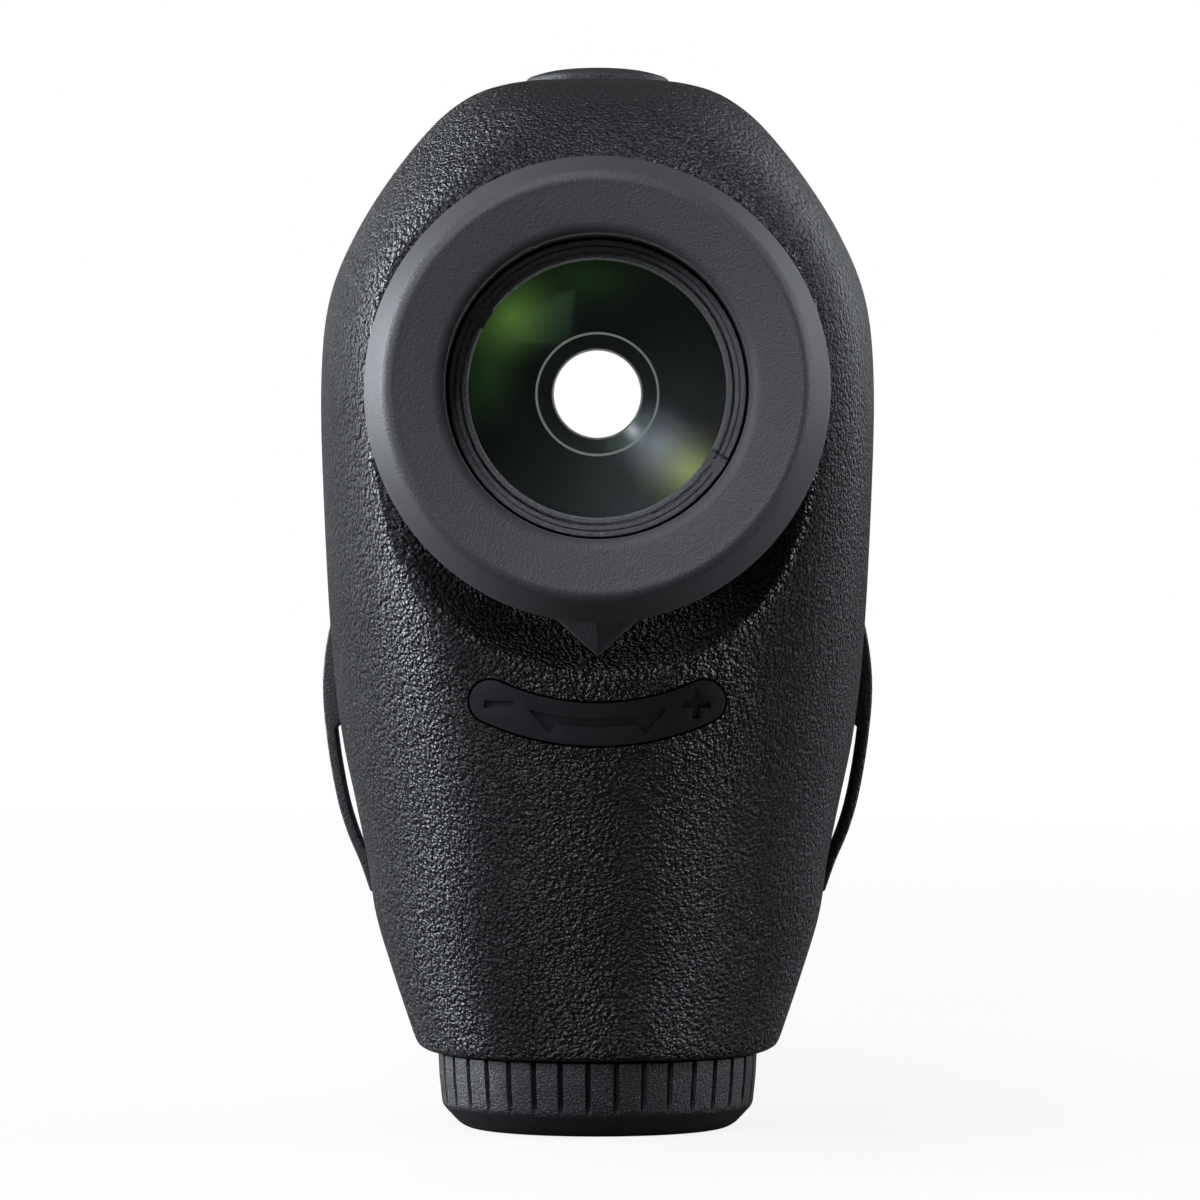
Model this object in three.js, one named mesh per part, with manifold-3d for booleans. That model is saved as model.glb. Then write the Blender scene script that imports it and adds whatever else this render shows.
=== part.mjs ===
// A compact upright laser rangefinder, built as separate pieces.
// Millimetres. +Z is up, the eyepiece looks back along -Y and the objective looks forward along +Y.
// The origin is the centre of the battery cap's flat bottom, on the battery's axis.
import * as THREE from "three";
import { mergeVertices } from "three/addons/utils/BufferGeometryUtils.js";
import Module from "manifold-3d";

const wasm = await Module();
wasm.setup();

// Clearance between neighbouring pieces, and the housing's wall.
const GAP = 0.3;
const WALL = 2.0;

// How finely round pieces and the housing's skins are divided.
const TURNED_SIDES = 28;
const OUTER_SKIN = { sides: 48, stepsPerRow: 2 };
const INNER_SKIN = { sides: 24, stepsPerRow: 1 };

// The housing's outline at a few heights: half its width, and its reach behind and ahead of the battery axis.
const BODY_ROWS = [
  { z: 5.0, half: 11.0, rear: 10.9, front: 12.2 },
  { z: 5.4, half: 11.8, rear: 11.6, front: 13.4 },
  { z: 6.4, half: 12.2, rear: 12.1, front: 15.6 },
  { z: 10.3, half: 13.5, rear: 13.9, front: 27.0 },
  { z: 14.0, half: 14.6, rear: 16.2, front: 42.0 },
  { z: 17.4, half: 15.1, rear: 18.6, front: 56.0 },
  { z: 21.2, half: 15.85, rear: 21.2, front: 63.0 },
  { z: 26.0, half: 16.8, rear: 24.4, front: 65.4 },
  { z: 32.0, half: 17.4, rear: 27.0, front: 66.0 },
  { z: 40.6, half: 17.75, rear: 28.4, front: 66.0 },
  { z: 48.5, half: 17.85, rear: 28.6, front: 66.0 },
  { z: 53.8, half: 17.3, rear: 28.4, front: 66.0 },
  { z: 58.0, half: 15.65, rear: 27.6, front: 66.0 },
  { z: 62.0, half: 13.3, rear: 26.0, front: 65.4 },
  { z: 65.2, half: 10.9, rear: 22.5, front: 63.6 },
  { z: 67.0, half: 8.9, rear: 17.5, front: 61.0 },
  { z: 67.9, half: 7.1, rear: 12.5, front: 58.2 },
  { z: 68.3, half: 5.2, rear: 8.5, front: 56.0 },
  { z: 68.4, half: 2.4, rear: 5.0, front: 53.0 },
];
const BODY_BOTTOM_Z = BODY_ROWS[0].z;
const BODY_TOP_Z = BODY_ROWS[BODY_ROWS.length - 1].z;
const PARTING_Y = 14.4;
const FRONT_FACE_Y = 61.6;

// Eyepiece: its axis height, then radii and places along Y measured on that axis.
const EYEPIECE_Z = 47.1;
const EYECUP_END_Y = -48;
const EYECUP_RADIUS = 13.8;
const EYECUP_CREST_RADIUS = 12.1;
const EYECUP_BORE_RADIUS = 8.9;
const COLLAR_RADIUS = 11.5;
const COLLAR_BORE_RADIUS = 10.6;
const COLLAR_END_Y = -36;
const DIOPTER_RING_RADIUS = 13.0;
const DIOPTER_RING_START_Y = -26.0;
const DIOPTER_RING_END_Y = -41.0;
const POINTER_TIP_RADIUS = 15.9;
const POINTER_HALF_WIDTH = 3.9;
const MOAT_RADIUS = 17.0;
const MOAT_FLOOR_Y = -24.9;
const MOAT_TILT_DEG = 4.5;
const CELL_RADIUS = 9.9;
const EYE_LENS_RADIUS = 7.95;
const EYE_APERTURE_RADIUS = 7.6;
const FIELD_LENS_RADIUS = 7.0;

// Objective and receiver at the front.
const OBJECTIVE_RADIUS = 10.6;
const OBJECTIVE_CELL_RADIUS = 12.0;
const RECEIVER_Z = 28.3;
const RECEIVER_RADIUS = 6.3;
const BEZEL_HALF_WIDTH = 13.6;
const BEZEL_BACK_Y = 60.8;
const FRONT_END_Y = 64.0;

// Battery, its tube and its screw cap.
const BATTERY_RADIUS = 7.8;
const BATTERY_LENGTH = 27;
const BATTERY_BOTTOM_Z = 5.4;
const CAP_TOP_Z = BODY_BOTTOM_Z - GAP;
const CAP_RADIUS = 10.5;
const CAP_NECK_RADIUS = 8.9;
const CAP_NECK_TOP_Z = 8.4;
const CAP_FLUTES = 36;
const CAP_TURN_DEG = 1.7;

// Buttons: an oval on the top and an oval on the left side.
const POWER_BUTTON = { y: -3, halfWidth: 4.7, halfLength: 6.6, flange: 64.5, top: 69.3 };
const MODE_BUTTON = { y: 31, z: 47, halfLength: 5.4, halfHeight: 3.6, face: 18.1 };

// Strap lugs bridging a scooped-out hollow on both sides.
const LUG_START_Y = 0.5;
const LUG_LENGTH = 5;
const LUG_THICKNESS = 0.65;

// The curved plate with the focus marks, an arc about a point above it.
const PLATE = { centreZ: 42.95, radius: 16.0, halfWidth: 1.33, halfAngle: 24.4 * (Math.PI / 180) };

const FINISHES = {
  armour: { color: 0x2d2e31, roughness: 0.78, metalness: 0 },
  smoothPlastic: { color: 0x222326, roughness: 0.5, metalness: 0 },
  eyecupRubber: { color: 0x3a3a3d, roughness: 0.7, metalness: 0 },
  capPlastic: { color: 0x2a2b2e, roughness: 0.6, metalness: 0 },
  glossPlastic: { color: 0x111214, roughness: 0.2, metalness: 0 },
  blackMetal: { color: 0x17181a, roughness: 0.45, metalness: 0.8 },
  steel: { color: 0xb8bcc0, roughness: 0.3, metalness: 1 },
  sealRubber: { color: 0x151517, roughness: 0.85, metalness: 0 },
  coatedGlass: { color: 0x24402c, roughness: 0.05, metalness: 0 },
  clearGlass: { color: 0xc8d6dc, roughness: 0.05, metalness: 0 },
  innerPlastic: { color: 0x35373b, roughness: 0.7, metalness: 0 },
  circuitBoard: { color: 0x14502e, roughness: 0.5, metalness: 0 },
  batterySleeve: { color: 0x7d8288, roughness: 0.35, metalness: 0.4 },
};

const rangefinder = new THREE.Group();

// --- Helpers ---------------------------------------------------------------------------------------------------

// Turns a closed three.js geometry into a solid that can be joined and cut.
function solidOf(geometry) {
  const bare = new THREE.BufferGeometry();
  bare.setAttribute("position", geometry.getAttribute("position").clone());
  if (geometry.index) bare.setIndex(geometry.index.clone());
  const merged = mergeVertices(bare, 1e-4);
  const source = merged.index.array;
  const triangles = [];
  for (let i = 0; i < source.length; i += 3) {
    const [a, b, c] = source.slice(i, i + 3);
    if (a !== b && b !== c && c !== a) triangles.push(a, b, c);
  }
  return new wasm.Manifold(
    new wasm.Mesh({
      numProp: 3,
      vertProperties: new Float32Array(merged.attributes.position.array),
      triVerts: new Uint32Array(triangles),
    }),
  );
}

// Turns a solid back into a geometry.
function geometryOf(solid) {
  const mesh = solid.getMesh();
  const geometry = new THREE.BufferGeometry();
  geometry.setAttribute("position", new THREE.BufferAttribute(mesh.vertProperties, 3));
  geometry.setIndex(new THREE.BufferAttribute(mesh.triVerts, 1));
  geometry.computeVertexNormals();
  return geometry;
}

// Adds one named piece to a group.
function addPiece(group, name, solid, finish) {
  const mesh = new THREE.Mesh(geometryOf(solid), new THREE.MeshStandardMaterial(FINISHES[finish]));
  mesh.name = name;
  group.add(mesh);
  return mesh;
}

// Adds a group whose own origin lies at the given point.
function addGroup(x, y, z) {
  const group = new THREE.Group();
  group.position.set(x, y, z);
  rangefinder.add(group);
  return group;
}

// A box from its lowest and highest corners.
function block(low, high) {
  const size = high.map((value, axis) => value - low[axis]);
  const geometry = new THREE.BoxGeometry(...size);
  geometry.translate(...high.map((value, axis) => (value + low[axis]) / 2));
  return solidOf(geometry);
}

// A solid of revolution about the Y axis, from [radius, y] points in either direction round the profile.
function turned(profile, sides = TURNED_SIDES) {
  const area = profile.reduce((sum, [r, y], i) => {
    const [nextR, nextY] = profile[(i + 1) % profile.length];
    return sum + r * nextY - nextR * y;
  }, 0);
  const points = profile.map(([r, y]) => new THREE.Vector2(r, y));
  if (area < 0) points.reverse();
  const touchesAxis = profile.some(([r]) => r === 0);
  if (!touchesAxis) points.push(points[0].clone());
  if (touchesAxis) {
    while (points[0].x !== 0 || points[points.length - 1].x !== 0) points.push(points.shift());
  }
  return solidOf(new THREE.LatheGeometry(points, sides));
}

// The same about the Z axis, from [radius, z] points.
function turnedUpright(profile, sides = TURNED_SIDES) {
  return turned(profile, sides).rotate([90, 0, 0]);
}

// A ring about the Y axis.
function ring(inner, outer, startY, endY, sides = TURNED_SIDES) {
  return turned([[inner, startY], [outer, startY], [outer, endY], [inner, endY]], sides);
}

// A disc about the Y axis.
function disc(radius, startY, endY, sides = TURNED_SIDES) {
  return turned([[0, startY], [radius, startY], [radius, endY], [0, endY]], sides);
}

// A lens about the Y axis, bulging at both faces.
function lens(radius, rearY, rearBulge, frontY, frontBulge, steps = 3) {
  const profile = [];
  for (let i = 0; i <= steps; i++) {
    const r = (radius * i) / steps;
    profile.push([r, rearY + rearBulge * (r / radius) ** 2]);
  }
  for (let i = steps; i >= 0; i--) {
    const r = (radius * i) / steps;
    profile.push([r, frontY - frontBulge * (r / radius) ** 2]);
  }
  return turned(profile, 28);
}

// Extrudes an outline drawn in X and Z along Y.
function extrudedAlongY(shape, startY, endY, curveSegments = 12) {
  const geometry = new THREE.ExtrudeGeometry(shape, { depth: endY - startY, bevelEnabled: false, curveSegments });
  geometry.rotateX(Math.PI / 2);
  geometry.translate(0, endY, 0);
  return solidOf(geometry);
}

// Skins rings of points, listed from the bottom up, and closes both ends with a fan.
function loft(rings) {
  const count = rings[0].length;
  const points = rings.flat();
  const index = [];
  for (let row = 0; row < rings.length - 1; row++) {
    for (let i = 0; i < count; i++) {
      const a = row * count + i;
      const b = row * count + ((i + 1) % count);
      index.push(a, b, b + count, a, b + count, a + count);
    }
  }
  for (const [row, isTop] of [[0, false], [rings.length - 1, true]]) {
    const centre = rings[row].reduce((sum, point) => sum.add(point), new THREE.Vector3()).divideScalar(count);
    points.push(centre);
    for (let i = 0; i < count; i++) {
      const a = row * count + i;
      const b = row * count + ((i + 1) % count);
      index.push(points.length - 1, ...(isTop ? [a, b] : [b, a]));
    }
  }
  const geometry = new THREE.BufferGeometry().setFromPoints(points);
  geometry.setIndex(index);
  return solidOf(geometry);
}

// --- Housing ---------------------------------------------------------------------------------------------------

// One level section of the housing: an oval whose corners are squarest at the eyepiece's height and at the front.
function bodySection(z, half, rear, front, sides) {
  const { smoothstep } = THREE.MathUtils;
  const rearPower = 2 / (2.1 + 1.9 * smoothstep(z, 18, 56) - 1.2 * smoothstep(z, 56, 67));
  const frontPower = 2 / (2.2 + 2.4 * smoothstep(z, 8, 28));
  const points = [];
  for (let i = 0; i < sides; i++) {
    const angle = (2 * Math.PI * i) / sides;
    const cosine = Math.cos(angle);
    const sine = Math.sin(angle);
    const power = sine < 0 ? rearPower : frontPower;
    const reach = sine < 0 ? rear : front;
    const x = Math.sign(cosine) * Math.abs(cosine) ** power * half;
    const y = Math.sign(sine) * Math.abs(sine) ** power * reach;
    points.push(new THREE.Vector3(x, y, z));
  }
  return points;
}

// The housing's outer form, shrunk inwards by an inset on every side.
function bodySolid(inset, { sides, stepsPerRow }) {
  const lineOf = (key) => new THREE.SplineCurve(BODY_ROWS.map((row) => new THREE.Vector2(row.z, row[key])));
  const halfLine = lineOf("half");
  const rearLine = lineOf("rear");
  const frontLine = lineOf("front");
  const middleZ = (BODY_BOTTOM_Z + BODY_TOP_Z) / 2;
  const reachZ = (BODY_TOP_Z - BODY_BOTTOM_Z) / 2;
  const levels = (BODY_ROWS.length - 1) * stepsPerRow;
  const rings = [];
  for (let level = 0; level <= levels; level++) {
    const t = level / levels;
    const { x: z, y: half } = halfLine.getPoint(t);
    const insetZ = middleZ + ((z - middleZ) * (reachZ - inset)) / reachZ;
    const rear = rearLine.getPoint(t).y - inset;
    const front = frontLine.getPoint(t).y - inset;
    rings.push(bodySection(insetZ, Math.max(half - inset, 0.4), rear, front, sides));
  }
  return loft(rings);
}

// The curved plate's outline, in X and Z, grown by a margin.
function plateShape(margin) {
  const { centreZ, radius, halfWidth, halfAngle } = PLATE;
  const reach = halfWidth + margin;
  const down = -Math.PI / 2;
  const shape = new THREE.Shape();
  shape.absarc(0, centreZ, radius + reach, down - halfAngle, down + halfAngle, false);
  const right = [radius * Math.sin(halfAngle), centreZ - radius * Math.cos(halfAngle)];
  shape.absarc(...right, reach, down + halfAngle, down + halfAngle + Math.PI, false);
  shape.absarc(0, centreZ, radius - reach, down + halfAngle, down - halfAngle, true);
  shape.absarc(-right[0], right[1], reach, down - halfAngle + Math.PI, down - halfAngle + 2 * Math.PI, false);
  return shape;
}

// A strap lug's outer line on the right-hand side, and the hollow's floor behind it.
const LUG_OUTER = new THREE.SplineCurve([
  new THREE.Vector2(15.0, 15.4),
  new THREE.Vector2(15.7, 17.4),
  new THREE.Vector2(16.55, 19.4),
  new THREE.Vector2(17.25, 21.8),
  new THREE.Vector2(17.85, 25.3),
  new THREE.Vector2(18.15, 28.7),
  new THREE.Vector2(17.95, 31.5),
  new THREE.Vector2(17.45, 34.0),
]);
const HOLLOW_FLOOR = new THREE.SplineCurve([
  new THREE.Vector2(14.3, 17.6),
  new THREE.Vector2(15.0, 20.5),
  new THREE.Vector2(15.6, 24.5),
  new THREE.Vector2(15.9, 29.6),
]);

function outlineOf(points) {
  return new THREE.Shape(points);
}

// The lug: a thin arch whose two feet sink into the housing's side.
function lugShape() {
  const outer = LUG_OUTER.getPoints(20);
  const isArch = (point) => point.y > 18.0 && point.y < 26.6;
  const arch = outer.filter(isArch).reverse();
  const inner = arch.map((point) => new THREE.Vector2(point.x - LUG_THICKNESS, point.y));
  const topFoot = [new THREE.Vector2(16.2, 34.0), new THREE.Vector2(16.2, 27.4)];
  const bottomFoot = [new THREE.Vector2(14.0, 17.4), new THREE.Vector2(13.8, 15.4)];
  return outlineOf([...outer, ...topFoot, ...inner, ...bottomFoot]);
}

// Everything the lug and the hollow behind it take out of the housing's side.
function hollowShape() {
  const floor = HOLLOW_FLOOR.getPoints(10);
  const outline = [
    new THREE.Vector2(20, 15.1),
    new THREE.Vector2(20, 34.3),
    new THREE.Vector2(15.9, 34.3),
    ...floor.reverse(),
    new THREE.Vector2(13.5, 17.6),
    new THREE.Vector2(13.5, 15.1),
  ];
  return outlineOf(outline);
}

// Cuts the hollow for a strap lug on both sides.
function lugHollows() {
  const right = extrudedAlongY(hollowShape(), LUG_START_Y - GAP, LUG_START_Y + LUG_LENGTH + GAP);
  return right.add(right.mirror([1, 0, 0]));
}

// The oval opening that a button slides in, about its own axis.
function ovalOpening(halfWidth, halfLength, startZ, endZ) {
  const radius = halfWidth + GAP;
  const profile = [[0, startZ], [radius, startZ], [radius, endZ], [0, endZ]];
  return turnedUpright(profile).scale([1, (halfLength + GAP) / radius, 1]);
}

const CHASSIS_SCREW_PLACES = [[-11.3, 39], [11.3, 39], [-10.9, 54.4], [10.9, 54.4]];
const BOSS_RADIUS = 2.2;
const BOSS_END_Y = -19.4;
const SCREW_RADIUS = 0.8;

function addHousings() {
  const outer = bodySolid(0, OUTER_SKIN);
  const inner = bodySolid(WALL, INNER_SKIN);
  const behind = block([-30, -60, 0], [30, PARTING_Y, 80]);
  const ahead = block([-30, PARTING_Y + GAP, 0], [30, FRONT_FACE_Y, 80]);

  // The moat's floor leans forward below the eyepiece, where the housing falls away.
  const moat = turned([
    [0, 0],
    [14.4, 0],
    [15.6, -0.6],
    [16.4, -1.7],
    [MOAT_RADIUS, -3.6],
    [18.2, -7],
    [0, -7],
  ]).rotate([MOAT_TILT_DEG, 0, 0]).translate([0, MOAT_FLOOR_Y, EYEPIECE_Z]);
  const eyeWall = disc(19.5, -34, -21.6).translate([0, 0, EYEPIECE_Z]).intersect(outer);
  const collar = disc(COLLAR_RADIUS, COLLAR_END_Y, -21.6).translate([0, 0, EYEPIECE_Z]);
  const collarBore = disc(COLLAR_BORE_RADIUS, -60, -20).translate([0, 0, EYEPIECE_Z]);
  const neck = turnedUpright([[0, BODY_BOTTOM_Z], [11.4, BODY_BOTTOM_Z], [11.4, 9.2], [0, 9.2]]).intersect(outer);
  const neckRadius = CAP_NECK_RADIUS + GAP;
  const neckBore = turnedUpright([[0, 0], [neckRadius, 0], [neckRadius, 12], [0, 12]]);
  const plateRecess = extrudedAlongY(plateShape(GAP), -40, -10).subtract(bodySolid(1.3, OUTER_SKIN));
  const { y, halfWidth, halfLength } = POWER_BUTTON;
  const powerOpening = ovalOpening(halfWidth, halfLength, 60, 80).translate([0, y, 0]);

  let rear = outer.intersect(behind).subtract(inner);
  rear = rear.add(eyeWall).subtract(moat).add(collar).subtract(collarBore);
  rear = rear.add(neck).subtract(neckBore);
  rear = rear.subtract(plateRecess).subtract(lugHollows()).subtract(powerOpening);
  const bossSpace = bodySolid(WALL / 2, INNER_SKIN);
  for (const [x, z] of CHASSIS_SCREW_PLACES) {
    const boss = disc(BOSS_RADIUS, BOSS_END_Y - 3, BOSS_END_Y, 16).translate([x, 0, z]).intersect(bossSpace);
    rear = rear.add(boss).subtract(disc(SCREW_RADIUS + GAP, BOSS_END_Y - 4.5, 0, 12).translate([x, 0, z]));
  }
  addPiece(rangefinder, "rear_housing", rear, "armour");

  const bezelSeat = extrudedAlongY(bezelShape(GAP), BEZEL_BACK_Y - GAP, 70);
  const objectiveOpening = disc(OBJECTIVE_RADIUS + 0.6, 50, 70).translate([0, 0, EYEPIECE_Z]);
  const receiverOpening = disc(RECEIVER_RADIUS + 0.6, 50, 70).translate([0, 0, RECEIVER_Z]);
  const modeOpening = ovalOpening(MODE_BUTTON.halfHeight, MODE_BUTTON.halfLength, 12, 30)
    .rotate([0, -90, 0])
    .translate([0, MODE_BUTTON.y, MODE_BUTTON.z]);
  const frontPad = block([-30, FRONT_FACE_Y - 2.4, 0], [30, FRONT_FACE_Y, 80]).intersect(outer);
  let front = outer.intersect(ahead).subtract(inner).add(frontPad);
  front = front.subtract(bezelSeat).subtract(objectiveOpening).subtract(receiverOpening).subtract(modeOpening);
  for (const [x, z] of BEZEL_SCREW_PLACES) {
    front = front.subtract(disc(SCREW_RADIUS + GAP, 56, 70, 12).translate([x, 0, z]));
  }
  addPiece(rangefinder, "front_housing", front, "armour");

  const gasketBand = block([-30, PARTING_Y - 0.7, 0], [30, PARTING_Y + 1.0, 80]);
  const gasket = bodySolid(WALL + GAP, INNER_SKIN).subtract(bodySolid(WALL + GAP + 0.9, INNER_SKIN)).intersect(gasketBand);
  addPiece(rangefinder, "housing_gasket", gasket, "sealRubber");
}

function addStrapLugs() {
  const right = extrudedAlongY(lugShape(), LUG_START_Y, LUG_START_Y + LUG_LENGTH);
  addPiece(rangefinder, "strap_lug_right", right, "smoothPlastic");
  addPiece(rangefinder, "strap_lug_left", right.mirror([1, 0, 0]), "smoothPlastic");
}

function addScalePlate() {
  const skin = bodySolid(0.1, OUTER_SKIN).subtract(bodySolid(1.0, OUTER_SKIN));
  const plate = extrudedAlongY(plateShape(0), -40, -10).intersect(skin);
  addPiece(rangefinder, "diopter_scale_plate", plate, "smoothPlastic");
}

// --- Eyepiece --------------------------------------------------------------------------------------------------

// The pointer on the focus ring: a flat-backed triangle whose tip points straight down.
function pointer() {
  const root = -(DIOPTER_RING_RADIUS - 0.5);
  const shape = outlineOf([
    new THREE.Vector2(-POINTER_HALF_WIDTH, root),
    new THREE.Vector2(0, -POINTER_TIP_RADIUS),
    new THREE.Vector2(POINTER_HALF_WIDTH, root),
  ]);
  return extrudedAlongY(shape, -32.6, -29.8);
}

function addEyepiece() {
  const eyepiece = addGroup(0, 0, EYEPIECE_Z);
  const backY = DIOPTER_RING_END_Y - GAP;
  const skirt = DIOPTER_RING_RADIUS + GAP;
  const eyecup = turned([
    [EYECUP_BORE_RADIUS, backY],
    [EYECUP_BORE_RADIUS, -46.2],
    [9.3, -46.7],
    [11.6, EYECUP_END_Y + 0.2],
    [EYECUP_CREST_RADIUS, EYECUP_END_Y],
    [12.55, EYECUP_END_Y + 0.3],
    [13.6, -43.4],
    [EYECUP_RADIUS, -42.4],
    [EYECUP_RADIUS, -34.4],
    [skirt, -34.4],
    [skirt, backY],
  ], 40);
  addPiece(eyepiece, "eyecup", eyecup, "eyecupRubber");

  const ringBody = ring(COLLAR_RADIUS + GAP, DIOPTER_RING_RADIUS, DIOPTER_RING_START_Y, DIOPTER_RING_END_Y, 40);
  addPiece(eyepiece, "diopter_ring", ringBody.add(pointer()), "smoothPlastic");

  const cellGroove = ring(9.0, CELL_RADIUS + 1, -30.7, -29.0);
  const cell = turned([
    [8.65, -43.5],
    [8.65, -39.9],
    [CELL_RADIUS, -39.9],
    [CELL_RADIUS, -24.2],
    [FIELD_LENS_RADIUS + GAP, -24.2],
    [FIELD_LENS_RADIUS + GAP, -35.4],
    [EYE_LENS_RADIUS + GAP, -35.4],
    [EYE_LENS_RADIUS + GAP, -43.5],
  ]).subtract(cellGroove);
  addPiece(eyepiece, "eyepiece_cell", cell, "blackMetal");

  const notch = block([-0.55, -44, 7.2], [0.55, -42.9, 9]);
  const notches = notch.rotate([0, -58, 0]).add(notch.rotate([0, 122, 0]));
  const retainer = ring(EYE_APERTURE_RADIUS, EYE_LENS_RADIUS, -43.4, -42.1).subtract(notches);
  addPiece(eyepiece, "eyepiece_retaining_ring", retainer, "blackMetal");
  addPiece(eyepiece, "eye_lens", lens(EYE_LENS_RADIUS, -42.9, 1.3, -36.0, 1.8), "coatedGlass");
  addPiece(eyepiece, "field_lens", lens(FIELD_LENS_RADIUS, -32.6, 0.6, -28.4, 1.2), "clearGlass");

  const oRing = new THREE.TorusGeometry(9.85, 0.45, 6, 32).rotateX(Math.PI / 2).translate(0, -29.85, 0);
  addPiece(eyepiece, "eyepiece_o_ring", solidOf(oRing), "sealRubber");
}

// --- Optics between the eyepiece and the objective ---------------------------------------------------------------

const HOLDER = { half: 9.6, startY: -18.6, endY: 14, top: 12.4, bottom: -11.6, wall: 1.2 };

function addPrismSet() {
  const optics = addGroup(0, 0, EYEPIECE_Z);
  const { half, startY, endY, top, bottom, wall } = HOLDER;
  const cavity = block([-half + wall, startY + wall, bottom + wall], [half - wall, endY - wall, top + 5]);
  const lightPath = disc(7.6, startY - 1, endY + 1);
  let holder = block([-half, startY, bottom], [half, endY, top]).subtract(cavity).subtract(lightPath);
  for (const [x, z] of CHASSIS_SCREW_PLACES) {
    const localZ = z - EYEPIECE_Z;
    const ear = block([Math.min(x, 0) - 1.3, startY, localZ - 1.6], [Math.max(x, 0) + 1.3, startY + wall, localZ + 1.6]);
    holder = holder.add(ear.subtract(lightPath));
  }
  for (const [x, z] of CHASSIS_SCREW_PLACES) {
    holder = holder.subtract(disc(SCREW_RADIUS + GAP, startY - 1, startY + 4, 12).translate([x, 0, z - EYEPIECE_Z]));
  }
  addPiece(optics, "prism_holder", holder, "innerPlastic");

  const depth = half - wall - GAP;
  const rearY = startY + wall + GAP;
  const frontY = endY - wall - GAP;
  const low = bottom + wall + GAP;
  const high = top - 1;
  const sideProfile = (points) => {
    const geometry = new THREE.ExtrudeGeometry(outlineOf(points.map(([y, z]) => new THREE.Vector2(y, z))), {
      depth: 2 * depth,
      bevelEnabled: false,
    });
    geometry.rotateX(Math.PI / 2).rotateZ(Math.PI / 2).translate(-depth, 0, 0);
    return solidOf(geometry);
  };
  const split = GAP * 1.5;
  const rearPrism = sideProfile([[rearY, low + 3], [rearY + 4, low], [-3.6, low], [frontY - 6, high], [rearY, high]]);
  const frontPrism = sideProfile([
    [-3.6 + split, low],
    [frontY - 2, low],
    [frontY, low + 3],
    [frontY, high],
    [frontY - 6 + split, high],
  ]);
  addPiece(optics, "roof_prism", rearPrism, "clearGlass");
  addPiece(optics, "relay_prism", frontPrism, "clearGlass");

  const stop = block([-8.6, -20.4, -8.6], [8.6, -19.4, 8.6]).subtract(disc(6, -30, 0, 32));
  addPiece(optics, "field_stop", stop, "innerPlastic");
  addPiece(optics, "display_panel", block([-7.2, -22.6, -7.2], [7.2, -20.8, 7.2]), "clearGlass");

  for (const [number, [x, z]] of CHASSIS_SCREW_PLACES.entries()) {
    const headY = startY + wall + GAP;
    const screw = disc(1.3, headY, headY + 1.0, 16).add(disc(SCREW_RADIUS, BOSS_END_Y - 3.8, headY + 0.1, 12));
    addPiece(rangefinder, `chassis_screw_${number + 1}`, screw.translate([x, 0, z]), "steel");
  }
}

// --- Front: objective, receiver and bezel ------------------------------------------------------------------------

const BEZEL_SCREW_PLACES = [[-10.9, 35.9], [10.9, 35.9]];

// The bezel's outline in X and Z: a tall shape with round ends, grown by a margin.
function bezelShape(margin) {
  const reach = BEZEL_HALF_WIDTH + margin;
  const lowCentre = RECEIVER_Z + 5.6;
  const highCentre = EYEPIECE_Z + 0.4;
  const shape = new THREE.Shape();
  shape.absarc(0, lowCentre, reach, Math.PI, 2 * Math.PI, false);
  shape.absarc(0, highCentre, reach, 0, Math.PI, false);
  return shape;
}

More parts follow.
